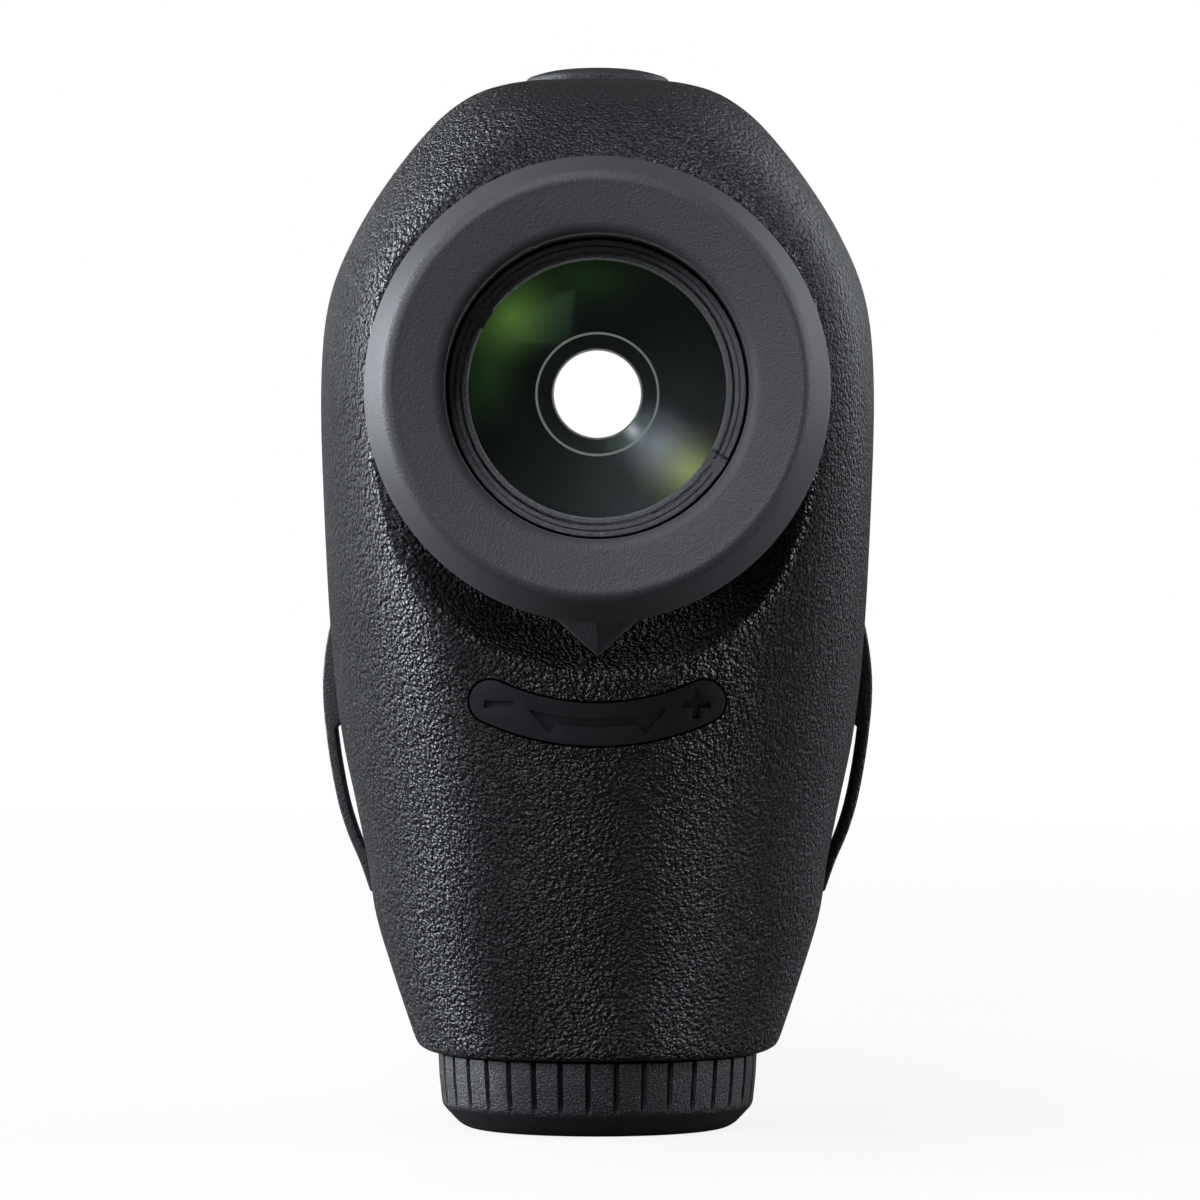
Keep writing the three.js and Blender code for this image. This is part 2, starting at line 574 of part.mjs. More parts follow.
function addFront() {
  const objective = addGroup(0, 0, EYEPIECE_Z);
  const cell = turned([
    [OBJECTIVE_CELL_RADIUS, 54.9],
    [OBJECTIVE_CELL_RADIUS, 42],
    [OBJECTIVE_RADIUS - 1.2, 42],
    [OBJECTIVE_RADIUS - 1.2, 46.6],
    [OBJECTIVE_RADIUS + GAP, 46.6],
    [OBJECTIVE_RADIUS + GAP, 54.9],
  ]);
  addPiece(objective, "objective_cell", cell, "innerPlastic");
  addPiece(objective, "objective_lens", lens(OBJECTIVE_RADIUS, 46.9, 0.6, 53.0, 1.4), "coatedGlass");
  addPiece(objective, "objective_retaining_ring", ring(9.6, OBJECTIVE_RADIUS, 53.4, 54.6), "innerPlastic");
  const rearTube = turned([
    [9.2, 15.4],
    [10.2, 15.4],
    [11.4, 41.6],
    [10.4, 41.6],
  ]);
  addPiece(objective, "light_baffle", rearTube, "innerPlastic");

  let bezel = extrudedAlongY(bezelShape(0), BEZEL_BACK_Y, FRONT_END_Y, 16);
  bezel = bezel.subtract(disc(OBJECTIVE_RADIUS + 0.2, 50, 70).translate([0, 0, EYEPIECE_Z]));
  bezel = bezel.subtract(disc(RECEIVER_RADIUS + 0.2, 50, 70).translate([0, 0, RECEIVER_Z]));
  for (const [x, z] of BEZEL_SCREW_PLACES) {
    bezel = bezel.subtract(disc(SCREW_RADIUS + GAP, 50, 70, 12).translate([x, 0, z]));
    bezel = bezel.subtract(disc(1.9, FRONT_END_Y - 1.1, 70, 20).translate([x, 0, z]));
  }
  addPiece(rangefinder, "front_bezel", bezel, "glossPlastic");
  for (const [number, [x, z]] of BEZEL_SCREW_PLACES.entries()) {
    const screw = disc(1.5, FRONT_END_Y - 0.8, FRONT_END_Y - 0.1, 20).add(disc(SCREW_RADIUS, 56.6, 63.4, 12));
    addPiece(rangefinder, `bezel_screw_${number + 1}`, screw.translate([x, 0, z]), "steel");
  }
  addPiece(objective, "objective_window", disc(OBJECTIVE_RADIUS - 0.1, 61.6, 62.8), "coatedGlass");

  const receiver = addGroup(0, 0, RECEIVER_Z);
  addPiece(receiver, "receiver_lens", lens(RECEIVER_RADIUS - 0.1, 58.6, 0.4, 62.6, 0.8), "coatedGlass");
  const funnel = turned([
    [5.0, 57.2],
    [5.9, 57.2],
    [3.4, 42.4],
    [2.5, 42.4],
  ], 32);
  addPiece(receiver, "receiver_funnel", funnel, "innerPlastic");
  addPiece(receiver, "detector_board", block([-6, 40.4, -5], [6, 41.4, 5]), "circuitBoard");
  addPiece(receiver, "light_detector", disc(2.0, 41.7, 43.2, 20), "blackMetal");

  const laser = addGroup(0, 24, 30.5);
  addPiece(laser, "laser_diode", disc(2.3, 2.2, 8, 24), "steel");
  const holder = block([-3.6, 2, -3.6], [3.6, 6, 3.4]).subtract(disc(2.3 + GAP, 1, 7, 24));
  addPiece(laser, "laser_diode_holder", holder, "innerPlastic");
}

// --- Buttons and boards ------------------------------------------------------------------------------------------

// A button about the Z axis, as wide as its half width and stretched along Y: a flange, a stem and a low dome.
function button(halfWidth, halfLength, flangeZ, topZ) {
  const profile = [
    [0, flangeZ],
    [halfWidth + 0.9, flangeZ],
    [halfWidth + 0.9, flangeZ + 0.9],
    [halfWidth, flangeZ + 0.9],
    [halfWidth, topZ - 0.7],
    [halfWidth - 0.15, topZ - 0.5],
    [halfWidth * 0.75, topZ - 0.2],
    [halfWidth * 0.4, topZ - 0.05],
    [0, topZ],
  ];
  return turnedUpright(profile, 28).scale([1, halfLength / halfWidth, 1]);
}

function addButtons() {
  const power = addGroup(0, POWER_BUTTON.y, 0);
  const { halfWidth, halfLength, flange, top } = POWER_BUTTON;
  addPiece(power, "power_button", button(halfWidth, halfLength, flange, top), "smoothPlastic");
  addPiece(power, "power_button_seal", block([-5.4, -7.6, 62.9], [5.4, 7.6, 63.5]), "sealRubber");
  addPiece(power, "power_switch", block([-2.2, -2.2, 61.1], [2.2, 2.2, 62.6]), "blackMetal");
  addPiece(power, "switch_board", block([-6, -9, 59.9], [6, 9, 60.8]), "circuitBoard");

  const mode = addGroup(0, MODE_BUTTON.y, MODE_BUTTON.z);
  const sideways = (solid) => solid.rotate([0, -90, 0]);
  const modeButton = button(MODE_BUTTON.halfHeight, MODE_BUTTON.halfLength, 14.2, MODE_BUTTON.face);
  addPiece(mode, "mode_button", sideways(modeButton), "smoothPlastic");
  addPiece(mode, "mode_button_seal", block([-13.5, -6, -4.4], [-12.9, 6, 4.4]), "sealRubber");
  addPiece(mode, "mode_switch", block([-12.6, -1.8, -1.8], [-11.5, 1.8, 1.8]), "blackMetal");
  addPiece(rangefinder, "main_circuit_board", block([-12.0, 17, 21], [-11.2, 42, 34]), "circuitBoard");
}

// --- Battery -----------------------------------------------------------------------------------------------------

function addBattery() {
  const topZ = BATTERY_BOTTOM_Z + BATTERY_LENGTH;
  const chamfer = 0.6;
  const cell = turnedUpright([
    [0, BATTERY_BOTTOM_Z],
    [BATTERY_RADIUS - chamfer, BATTERY_BOTTOM_Z],
    [BATTERY_RADIUS, BATTERY_BOTTOM_Z + chamfer],
    [BATTERY_RADIUS, topZ - 1.8],
    [BATTERY_RADIUS - chamfer, topZ - 1.2],
    [2.9, topZ - 1.2],
    [2.9, topZ],
    [0, topZ],
  ]);
  addPiece(rangefinder, "battery", cell, "batterySleeve");

  const tube = turnedUpright([
    [BATTERY_RADIUS + GAP, 9.5],
    [BATTERY_RADIUS + 1.3, 9.5],
    [BATTERY_RADIUS + 1.3, 34.4],
    [0, 34.4],
    [0, 33.6],
    [BATTERY_RADIUS + GAP, 33.6],
  ]);
  addPiece(rangefinder, "battery_tube", tube, "innerPlastic");
  addPiece(rangefinder, "battery_contact_plate", turnedUpright([[0, 32.7], [5, 32.7], [5, 33.2], [0, 33.2]], 24), "steel");
}

function addBatteryCap() {
  const profile = [
    [0, 0],
    [8.5, 0],
    [9.1, 0.3],
    [10.25, 1.5],
    [CAP_RADIUS, CAP_TOP_Z],
    [CAP_NECK_RADIUS, CAP_TOP_Z],
    [CAP_NECK_RADIUS, CAP_NECK_TOP_Z],
    [BATTERY_RADIUS + GAP, CAP_NECK_TOP_Z],
    [BATTERY_RADIUS + GAP, 3.0],
    [0, 3.0],
  ];
  let cap = turnedUpright(profile, CAP_FLUTES);
  const flute = new THREE.CylinderGeometry(0.4, 0.4, 4, 4).rotateX(Math.PI / 2).rotateZ(Math.PI / 4);
  const cutter = solidOf(flute.translate(CAP_RADIUS + 0.02, 0, 3.7));
  for (let i = 0; i < CAP_FLUTES; i++) {
    cap = cap.subtract(cutter.rotate([0, 0, ((i + 0.5) * 360) / CAP_FLUTES]));
  }
  const sealGroove = turnedUpright([[9.0, 3.8], [9.9, 3.8], [9.9, 6], [9.0, 6]]);
  const neckGuard = turnedUpright([[0, 0], [CAP_NECK_RADIUS, 0], [CAP_NECK_RADIUS, 9], [0, 9]]);
  cap = cap.subtract(sealGroove.subtract(neckGuard));
  addPiece(rangefinder, "battery_cap", cap.rotate([0, 0, CAP_TURN_DEG]), "capPlastic");

  const seal = new THREE.TorusGeometry(9.45, 0.15, 4, 32).translate(0, 0, 4.3);
  addPiece(rangefinder, "battery_cap_o_ring", solidOf(seal), "sealRubber");
  const spring = turnedUpright([[0, 3.3], [4.6, 3.3], [4.6, 3.7], [3.2, 5.0], [0, 5.0]], 24);
  addPiece(rangefinder, "battery_contact_spring", spring, "steel");
}

addHousings();
addStrapLugs();
addScalePlate();
addEyepiece();
addPrismSet();
addFront();
addButtons();
addBattery();
addBatteryCap();

export default rangefinder;
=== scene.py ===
"""Surfaces, materials and studio for a compact upright laser rangefinder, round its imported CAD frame."""

import math

import bmesh
import bpy
from mathutils import Matrix, Vector


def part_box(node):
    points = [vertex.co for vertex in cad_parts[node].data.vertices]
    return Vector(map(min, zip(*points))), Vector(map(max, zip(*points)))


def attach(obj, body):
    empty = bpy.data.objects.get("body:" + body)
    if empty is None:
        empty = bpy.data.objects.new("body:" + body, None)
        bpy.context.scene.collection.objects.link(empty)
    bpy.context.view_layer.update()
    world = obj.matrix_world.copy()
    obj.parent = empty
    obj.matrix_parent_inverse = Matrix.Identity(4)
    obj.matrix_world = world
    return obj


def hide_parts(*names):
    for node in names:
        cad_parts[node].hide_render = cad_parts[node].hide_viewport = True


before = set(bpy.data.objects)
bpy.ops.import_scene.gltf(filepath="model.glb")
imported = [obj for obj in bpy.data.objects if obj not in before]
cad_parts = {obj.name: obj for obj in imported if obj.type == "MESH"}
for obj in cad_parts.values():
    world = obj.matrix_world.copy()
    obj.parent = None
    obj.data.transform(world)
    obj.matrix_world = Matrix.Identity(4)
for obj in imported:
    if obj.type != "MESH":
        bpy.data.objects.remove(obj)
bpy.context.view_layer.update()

bl_info = {
    "name": "Laser rangefinder looks",
    "version": (1, 0, 0),
    "blender": (4, 5, 0),
    "location": "3D View > Sidebar > Rangefinder",
    "description": "Builds the armour, rubber, glass and metal surfaces of a compact laser rangefinder",
    "category": "Object",
}

MM = 0.001
PANEL_TAB = "Rangefinder"


# --- Places taken from the frame, in millimetres --------------------------------------------------


def span(node, axis):
    """A node's lowest and highest place along an axis, in millimetres."""
    low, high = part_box(node)
    return low[axis] / MM, high[axis] / MM


def middle(node, axis):
    low, high = span(node, axis)
    return (low + high) / 2


def half_size(node, axis):
    low, high = span(node, axis)
    return (high - low) / 2


X, Y, Z = 0, 1, 2
EYE_Z = middle("eyecup", Z)
EYECUP_RADIUS = half_size("eyecup", X)
EYECUP_END, EYECUP_START = span("eyecup", Y)
RING_END, RING_START = span("diopter_ring", Y)
RING_RADIUS = half_size("diopter_ring", X)
POINTER_TIP = EYE_Z - span("diopter_ring", Z)[0]
CELL_END, CELL_START = span("eyepiece_cell", Y)
CELL_RADIUS = half_size("eyepiece_cell", X)
PARTING = span("rear_housing", Y)[1]
FRONT_START, FRONT_FACE = span("front_housing", Y)
BODY_BOTTOM, BODY_TOP = span("rear_housing", Z)
BEZEL_BACK, BEZEL_FACE = span("front_bezel", Y)
BEZEL_HALF = span("front_bezel", X)[1]
RECEIVER_Z = middle("receiver_lens", Z)
OBJECTIVE_RADIUS = span("objective_window", X)[1]
RECEIVER_RADIUS = span("receiver_lens", X)[1]
CAP_RADIUS = span("battery_cap", X)[1]
CAP_NECK_TOP = span("battery_cap", Z)[1]
GAP = FRONT_START - PARTING


# --- Settings -------------------------------------------------------------------------------------


class HousingSettings(bpy.types.PropertyGroup):
    """Sizes and colour of the two housings"""

    rear_cell: bpy.props.FloatProperty(
        name="Rear skin fineness", description="Cell size that the rear housing's skin is rebuilt from",
        default=0.00042, min=0.0002, unit="LENGTH", precision=5)
    front_cell: bpy.props.FloatProperty(
        name="Front skin fineness", description="Cell size that the front housing's skin is rebuilt from",
        default=0.00055, min=0.0002, unit="LENGTH", precision=5)
    wall: bpy.props.FloatProperty(
        name="Wall", description="Thickness of the housing's wall", default=0.002, min=0.001,
        unit="LENGTH", precision=4)
    armour_colour: bpy.props.FloatVectorProperty(
        name="Armour colour", description="Colour of the grained armour skin", subtype="COLOR",
        default=(0.0078, 0.0081, 0.0098), min=0.0, max=1.0)
    grain_depth: bpy.props.FloatProperty(
        name="Grain depth", description="Height of the armour's pebble grain", default=0.0005, min=0.0,
        unit="LENGTH", precision=5)


class EyepieceSettings(bpy.types.PropertyGroup):
    """Colours of the eyepiece and the size of the painted glow of its exit pupil"""

    rubber_colour: bpy.props.FloatVectorProperty(
        name="Rubber colour", description="Colour of the eyecup's rubber", subtype="COLOR",
        default=(0.06, 0.0602, 0.065), min=0.0, max=1.0)
    coating_colour: bpy.props.FloatVectorProperty(
        name="Coating colour", description="Tint of the lens coating's reflections", subtype="COLOR",
        default=(0.025, 0.05, 0.025), min=0.0, max=1.0)
    pupil_radius: bpy.props.FloatProperty(
        name="Exit pupil radius", description="Radius of the bright disc seen through the eyepiece",
        default=0.00199, min=0.0005, unit="LENGTH", precision=5)


class CapSettings(bpy.types.PropertyGroup):
    """Grooves and colour of the battery cap"""

    flutes: bpy.props.IntProperty(
        name="Flutes", description="Grooves round the battery cap", default=36, min=8)
    flute_depth: bpy.props.FloatProperty(
        name="Flute depth", description="Depth of each groove", default=0.00038, min=0.0,
        unit="LENGTH", precision=5)
    plastic_colour: bpy.props.FloatVectorProperty(
        name="Plastic colour", description="Colour of the smooth black plastic", subtype="COLOR",
        default=(0.011, 0.0114, 0.013), min=0.0, max=1.0)


class StageSettings(bpy.types.PropertyGroup):
    """Camera and floor of the studio"""

    distance: bpy.props.FloatProperty(
        name="Camera distance", description="Distance from the camera to the battery's axis", default=0.4,
        min=0.1, unit="LENGTH")
    lens: bpy.props.FloatProperty(
        name="Lens", description="Focal length of the camera", default=182.0, min=20.0,
        subtype="DISTANCE_CAMERA")
    floor_colour: bpy.props.FloatVectorProperty(
        name="Floor colour", description="Colour of the studio floor", subtype="COLOR",
        default=(0.12, 0.12, 0.12), min=0.0, max=1.0)


# --- Modelling helpers ----------------------------------------------------------------------------


def softened(points, radius, steps=4):
    """Rounds the corners of a closed (across, along) outline. A point may carry a radius of its own."""
    outline = []
    count = len(points)
    for i, point in enumerate(points):
        here = Vector(point[:2])
        before = Vector(points[i - 1][:2]) - here
        after = Vector(points[(i + 1) % count][:2]) - here
        own = point[2] if len(point) > 2 else radius
        reach = min(own, 0.48 * before.length, 0.48 * after.length)
        if reach < 1e-4:
            outline.append(tuple(here))
            continue
        start = here + before.normalized() * reach
        end = here + after.normalized() * reach
        for step in range(steps + 1):
            t = step / steps
            outline.append(tuple(start * (1 - t) ** 2 + here * 2 * t * (1 - t) + end * t ** 2))
    return outline


def turn(bm, outline, steps=96, axis="Y", centre=(0.0, 0.0, 0.0), close=True):
    """Spins an outline of (radius, along) points about an axis through a centre, all in millimetres."""
    place = {
        "Y": lambda r, a: Vector((r, a, 0)),
        "Z": lambda r, a: Vector((r, 0, a)),
        "X": lambda r, a: Vector((a, 0, r)),
    }[axis]
    direction = {"X": (1, 0, 0), "Y": (0, 1, 0), "Z": (0, 0, 1)}[axis]
    shift = Vector(centre)
    verts = [bm.verts.new((place(max(r, 0.0), a) + shift) * MM) for r, a in outline]
    edges = [bm.edges.new(pair) for pair in zip(verts, verts[1:])]
    if close:
        edges.append(bm.edges.new((verts[-1], verts[0])))
    bmesh.ops.spin(bm, geom=verts + edges, cent=shift * MM, axis=direction, dvec=(0, 0, 0), angle=2 * math.pi,
                   steps=steps, use_merge=True, use_duplicate=False)
    bmesh.ops.remove_doubles(bm, verts=bm.verts, dist=2e-6)


def slab(bm, outline, start, end):
    """Extrudes a closed outline of (across, up) points along Y, from start to end, in millimetres."""
    verts = [bm.verts.new(Vector((across, start, up)) * MM) for across, up in outline]
    face = bm.faces.new(verts)
    grown = bmesh.ops.extrude_face_region(bm, geom=[face])
    moved = [g for g in grown["geom"] if isinstance(g, bmesh.types.BMVert)]
    bmesh.ops.translate(bm, verts=moved, vec=(0, (end - start) * MM, 0))


def box(bm, low, high):
    """Adds a box between two corners in millimetres."""
    size = [h - l for l, h in zip(low, high)]
    centre = Vector([(h + l) / 2 for l, h in zip(low, high)])
    matrix = Matrix.Translation(centre * MM) @ Matrix.Diagonal([s * MM for s in size] + [1])
    bmesh.ops.create_cube(bm, size=1, matrix=matrix)


def arc(centre_across, centre_along, radius, start_deg, end_deg, steps=16):
    """Points of a circular arc, both ends included."""
    points = []
    for i in range(steps + 1):
        angle = math.radians(start_deg + (end_deg - start_deg) * i / steps)
        points.append((centre_across + radius * math.cos(angle), centre_along + radius * math.sin(angle)))
    return points


def curve(a, b, c, d, f):
    """The place a fraction of the way from b to c, on a smooth line that also heeds a and d."""
    v0, v1 = (c - a) / 2, (d - b) / 2
    return (2 * b - 2 * c + v0 + v1) * f ** 3 + (-3 * b + 3 * c - 2 * v0 - v1) * f ** 2 + v0 * f + b


def rounded_edges(bm, width, segments=3, angle_deg=30):
    """Bevels every edge sharper than an angle. The width is in millimetres."""
    sharp = [e for e in bm.edges if len(e.link_faces) == 2 and e.calc_face_angle(0) > math.radians(angle_deg)]
    bmesh.ops.bevel(bm, geom=sharp, offset=width * MM, offset_type="OFFSET", affect="EDGES",
                    segments=segments, profile=0.5, material=-1, clamp_overlap=True)


def loose_object(name, bm):
    """Turns a bmesh into an object that isn't yet a piece."""
    bmesh.ops.recalc_face_normals(bm, faces=bm.faces)
    mesh = bpy.data.meshes.new(name)
    bm.to_mesh(mesh)
    bm.free()
    made = bpy.data.objects.new(name, mesh)
    bpy.context.scene.collection.objects.link(made)
    return made


def turned(name, outline, centre=(0, 0, 0), steps=96, close=True):
    """A loose object turned about an axis along Y."""
    bm = bmesh.new()
    turn(bm, outline, steps=steps, centre=centre, close=close)
    return loose_object(name, bm)


def baked_modifiers(target):
    """Applies an object's modifiers to its mesh."""
    depsgraph = bpy.context.evaluated_depsgraph_get()
    mesh = bpy.data.meshes.new_from_object(target.evaluated_get(depsgraph))
    target.modifiers.clear()
    old = target.data
    target.data = mesh
    bpy.data.meshes.remove(old)


def discard(*objects):
    for unwanted in objects:
        mesh = unwanted.data
        bpy.data.objects.remove(unwanted)
        bpy.data.meshes.remove(mesh)


def cut_and_join(target, steps):
    """Runs (operation, tool) pairs on a target solid, then throws the tools away."""
    for operation, tool in steps:
        change = target.modifiers.new(operation, "BOOLEAN")
        change.operation = operation
        change.object = tool
        change.solver = "MANIFOLD"
    baked_modifiers(target)
    discard(*{tool for _, tool in steps})


def rebuilt_skin(target, cell, rounds):
    """Rebuilds a solid's skin from small even cells and rounds its edges a little, as a moulding has them."""
    remesh = target.modifiers.new("skin", "REMESH")
    remesh.mode = "VOXEL"
    remesh.voxel_size = cell
    baked_modifiers(target)
    bm = bmesh.new()
    bm.from_mesh(target.data)
    for _ in range(rounds):
        bmesh.ops.smooth_vert(bm, verts=bm.verts, factor=0.5, use_axis_x=True, use_axis_y=True,
                              use_axis_z=True)
    bm.to_mesh(target.data)
    bm.free()


def finish_piece(piece, material, body, replaces=(), sharp_deg=40):
    """Gives a piece its material, smooth shading and body, and hides the CAD nodes it stands for."""
    piece.data.materials.clear()
    piece.data.materials.append(material)
    piece.data.shade_smooth()
    piece.data.set_sharp_from_angle(angle=math.radians(sharp_deg))
    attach(piece, body)
    if replaces:
        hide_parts(*replaces)
    return piece


# --- Materials ------------------------------------------------------------------------------------

# Where a mix node keeps its colour sockets.
MIX_COLOUR_A, MIX_COLOUR_B, MIX_COLOUR_OUT = 6, 7, 2
DUST_COLOUR = (0.16, 0.16, 0.17)


def group_with_sockets(name, inputs, outputs):
    """Starts a shader node group with named sockets."""
    tree = bpy.data.node_groups.new(name, "ShaderNodeTree")
    for label, kind, value in inputs:
        socket = tree.interface.new_socket(name=label, in_out="INPUT", socket_type=kind)
        if value is not None:
            socket.default_value = value
    for label, kind in outputs:
        tree.interface.new_socket(name=label, in_out="OUTPUT", socket_type=kind)
    return tree, tree.nodes.new("NodeGroupInput"), tree.nodes.new("NodeGroupOutput")


def add_node(tree, kind, **values):
    made = tree.nodes.new(kind)
    for key, value in values.items():
        setattr(made, key, value)
    return made


def feed(tree, source, socket):
    """Sets a socket to a plain number, or links another socket to it."""
    if isinstance(source, (int, float)):
        socket.default_value = source
    else:
        tree.links.new(source, socket)


def maths(tree, operation, first, second):
    """A math node fed by sockets or plain numbers."""
    made = add_node(tree, "ShaderNodeMath", operation=operation)
    feed(tree, first, made.inputs[0])
    feed(tree, second, made.inputs[1])
    return made.outputs[0]


def noise(tree, vector, scale, detail):
    """A noise texture. Its scale is a plain number or a socket."""
    made = add_node(tree, "ShaderNodeTexNoise")
    made.inputs["Detail"].default_value = detail
    tree.links.new(vector, made.inputs["Vector"])
    feed(tree, scale, made.inputs["Scale"])
    return made


def grain_group():
    """Pebble grain like moulded leather: soft rounded bumps with worm-like valleys."""
    if "Pebble grain" in bpy.data.node_groups:
        return bpy.data.node_groups["Pebble grain"]
    tree, start, end = group_with_sockets(
        "Pebble grain",
        [("Vector", "NodeSocketVector", None), ("Scale", "NodeSocketFloat", 2600.0),
         ("Coarseness", "NodeSocketFloat", 0.5)],
        [("Height", "NodeSocketFloat")])
    link = tree.links.new
    warp = noise(tree, start.outputs["Vector"], start.outputs["Scale"], 1.0)
    spread = add_node(tree, "ShaderNodeVectorMath", operation="SCALE")
    spread.inputs["Scale"].default_value = 0.00035
    link(warp.outputs["Color"], spread.inputs[0])
    moved = add_node(tree, "ShaderNodeVectorMath", operation="ADD")
    link(start.outputs["Vector"], moved.inputs[0])
    link(spread.outputs[0], moved.inputs[1])
    pebbles = add_node(tree, "ShaderNodeTexVoronoi", feature="SMOOTH_F1")
    pebbles.inputs["Smoothness"].default_value = 0.12
    link(moved.outputs[0], pebbles.inputs["Vector"])
    link(start.outputs["Scale"], pebbles.inputs["Scale"])
    fine_scale = maths(tree, "MULTIPLY", start.outputs["Scale"], 1.7)
    fine = noise(tree, start.outputs["Vector"], fine_scale, 2.0)
    dome = maths(tree, "SUBTRACT", 1.0, pebbles.outputs["Distance"])
    weighted = maths(tree, "MULTIPLY", dome, start.outputs["Coarseness"])
    link(maths(tree, "ADD", weighted, maths(tree, "MULTIPLY", fine.outputs[0], 0.6)), end.inputs["Height"])
    return tree


def variation_group():
    """Slow drift of tone and gloss over a surface, with a faint dusty bloom."""
    if "Surface drift" in bpy.data.node_groups:
        return bpy.data.node_groups["Surface drift"]
    tree, start, end = group_with_sockets(
        "Surface drift",
        [("Vector", "NodeSocketVector", None), ("Colour", "NodeSocketColor", (0.05, 0.05, 0.05, 1)),
         ("Bloom", "NodeSocketFloat", 0.15), ("Roughness", "NodeSocketFloat", 0.6),
         ("Drift", "NodeSocketFloat", 0.06), ("Fine scale", "NodeSocketFloat", 4000.0)],
        [("Colour", "NodeSocketColor"), ("Roughness", "NodeSocketFloat")])
    link = tree.links.new
    slow = noise(tree, start.outputs["Vector"], 70.0, 3.0)
    fine = noise(tree, start.outputs["Vector"], start.outputs["Fine scale"], 2.0)
    both = maths(tree, "ADD", slow.outputs[0], fine.outputs[0])
    dust = maths(tree, "MULTIPLY", both, start.outputs["Bloom"])
    mix = add_node(tree, "ShaderNodeMix", data_type="RGBA", blend_type="MIX")
    link(dust, mix.inputs["Factor"])
    link(start.outputs["Colour"], mix.inputs[MIX_COLOUR_A])
    mix.inputs[MIX_COLOUR_B].default_value = (*DUST_COLOUR, 1)
    link(mix.outputs[MIX_COLOUR_OUT], end.inputs["Colour"])
    swing = maths(tree, "MULTIPLY", maths(tree, "SUBTRACT", slow.outputs[0], 0.5), start.outputs["Drift"])
    speck = maths(tree, "MULTIPLY", maths(tree, "SUBTRACT", fine.outputs[0], 0.5), start.outputs["Drift"])
    total = maths(tree, "ADD", start.outputs["Roughness"], maths(tree, "ADD", swing, speck))
    link(total, end.inputs["Roughness"])
    return tree


def new_material(name):
    material = bpy.data.materials.new(name)
    material.use_nodes = True
    tree = material.node_tree
    shader = tree.nodes["Principled BSDF"]
    where = add_node(tree, "ShaderNodeTexCoord")
    return material, tree, shader, where.outputs["Object"]


def grained_material(name, colour, roughness, grain_scale, grain_depth, coarseness=0.6, bloom=0.05,
                     specular=0.5, depth_by_height=None):
    """Moulded plastic or rubber with a pebble grain, whose depth can change between two heights."""
    material, tree, shader, where = new_material(name)
    link = tree.links.new
    drift = add_node(tree, "ShaderNodeGroup", node_tree=variation_group())
    link(where, drift.inputs["Vector"])
    drift.inputs["Colour"].default_value = (*colour, 1)
    drift.inputs["Bloom"].default_value = bloom
    drift.inputs["Roughness"].default_value = roughness
    drift.inputs["Drift"].default_value = 0.12
    drift.inputs["Fine scale"].default_value = grain_scale
    link(drift.outputs["Colour"], shader.inputs["Base Color"])
    link(drift.outputs["Roughness"], shader.inputs["Roughness"])
    shader.inputs["Specular IOR Level"].default_value = specular
    grain = add_node(tree, "ShaderNodeGroup", node_tree=grain_group())
    link(where, grain.inputs["Vector"])
    grain.inputs["Scale"].default_value = grain_scale
    grain.inputs["Coarseness"].default_value = coarseness
    height = grain.outputs["Height"]
    if depth_by_height:
        low, high, low_gain, high_gain = depth_by_height
        split = add_node(tree, "ShaderNodeSeparateXYZ")
        link(where, split.inputs[0])
        ramp = add_node(tree, "ShaderNodeMapRange", interpolation_type="SMOOTHSTEP")
        ramp.inputs["From Min"].default_value = low * MM
        ramp.inputs["From Max"].default_value = high * MM
        ramp.inputs["To Min"].default_value = low_gain
        ramp.inputs["To Max"].default_value = high_gain
        link(split.outputs["Z"], ramp.inputs["Value"])
        height = maths(tree, "MULTIPLY", height, ramp.outputs["Result"])
    bump = add_node(tree, "ShaderNodeBump")
    bump.inputs["Strength"].default_value = 1.0
    bump.inputs["Distance"].default_value = grain_depth
    link(height, bump.inputs["Height"])
    link(bump.outputs["Normal"], shader.inputs["Normal"])
    return material


def metal_material(name, colour, roughness, metallic=1.0):
    """Turned or plated metal with a fine brushed unevenness."""
    material, tree, shader, where = new_material(name)
    link = tree.links.new
    shader.inputs["Base Color"].default_value = (*colour, 1)
    shader.inputs["Metallic"].default_value = metallic
    brushing = noise(tree, where, 900.0, 3.0)
    link(maths(tree, "ADD", maths(tree, "MULTIPLY", brushing.outputs[0], 0.2), roughness - 0.1),
         shader.inputs["Roughness"])
    bump = add_node(tree, "ShaderNodeBump")
    bump.inputs["Distance"].default_value = 0.00001
    link(brushing.outputs[0], bump.inputs["Height"])
    link(bump.outputs["Normal"], shader.inputs["Normal"])
    return material


def glass_material(name, colour, coating, roughness=0.01, ior=1.52):
    """Clear glass whose reflections carry a coating's tint."""
    material, tree, shader, where = new_material(name)
    link = tree.links.new
    shader.inputs["Base Color"].default_value = (*colour, 1)
    shader.inputs["Transmission Weight"].default_value = 1.0
    shader.inputs["IOR"].default_value = ior
    shader.inputs["Specular Tint"].default_value = (*coating, 1)
    smear = noise(tree, where, 120.0, 4.0)
    link(maths(tree, "ADD", maths(tree, "MULTIPLY", smear.outputs[0], roughness), roughness),
         shader.inputs["Roughness"])
    return material


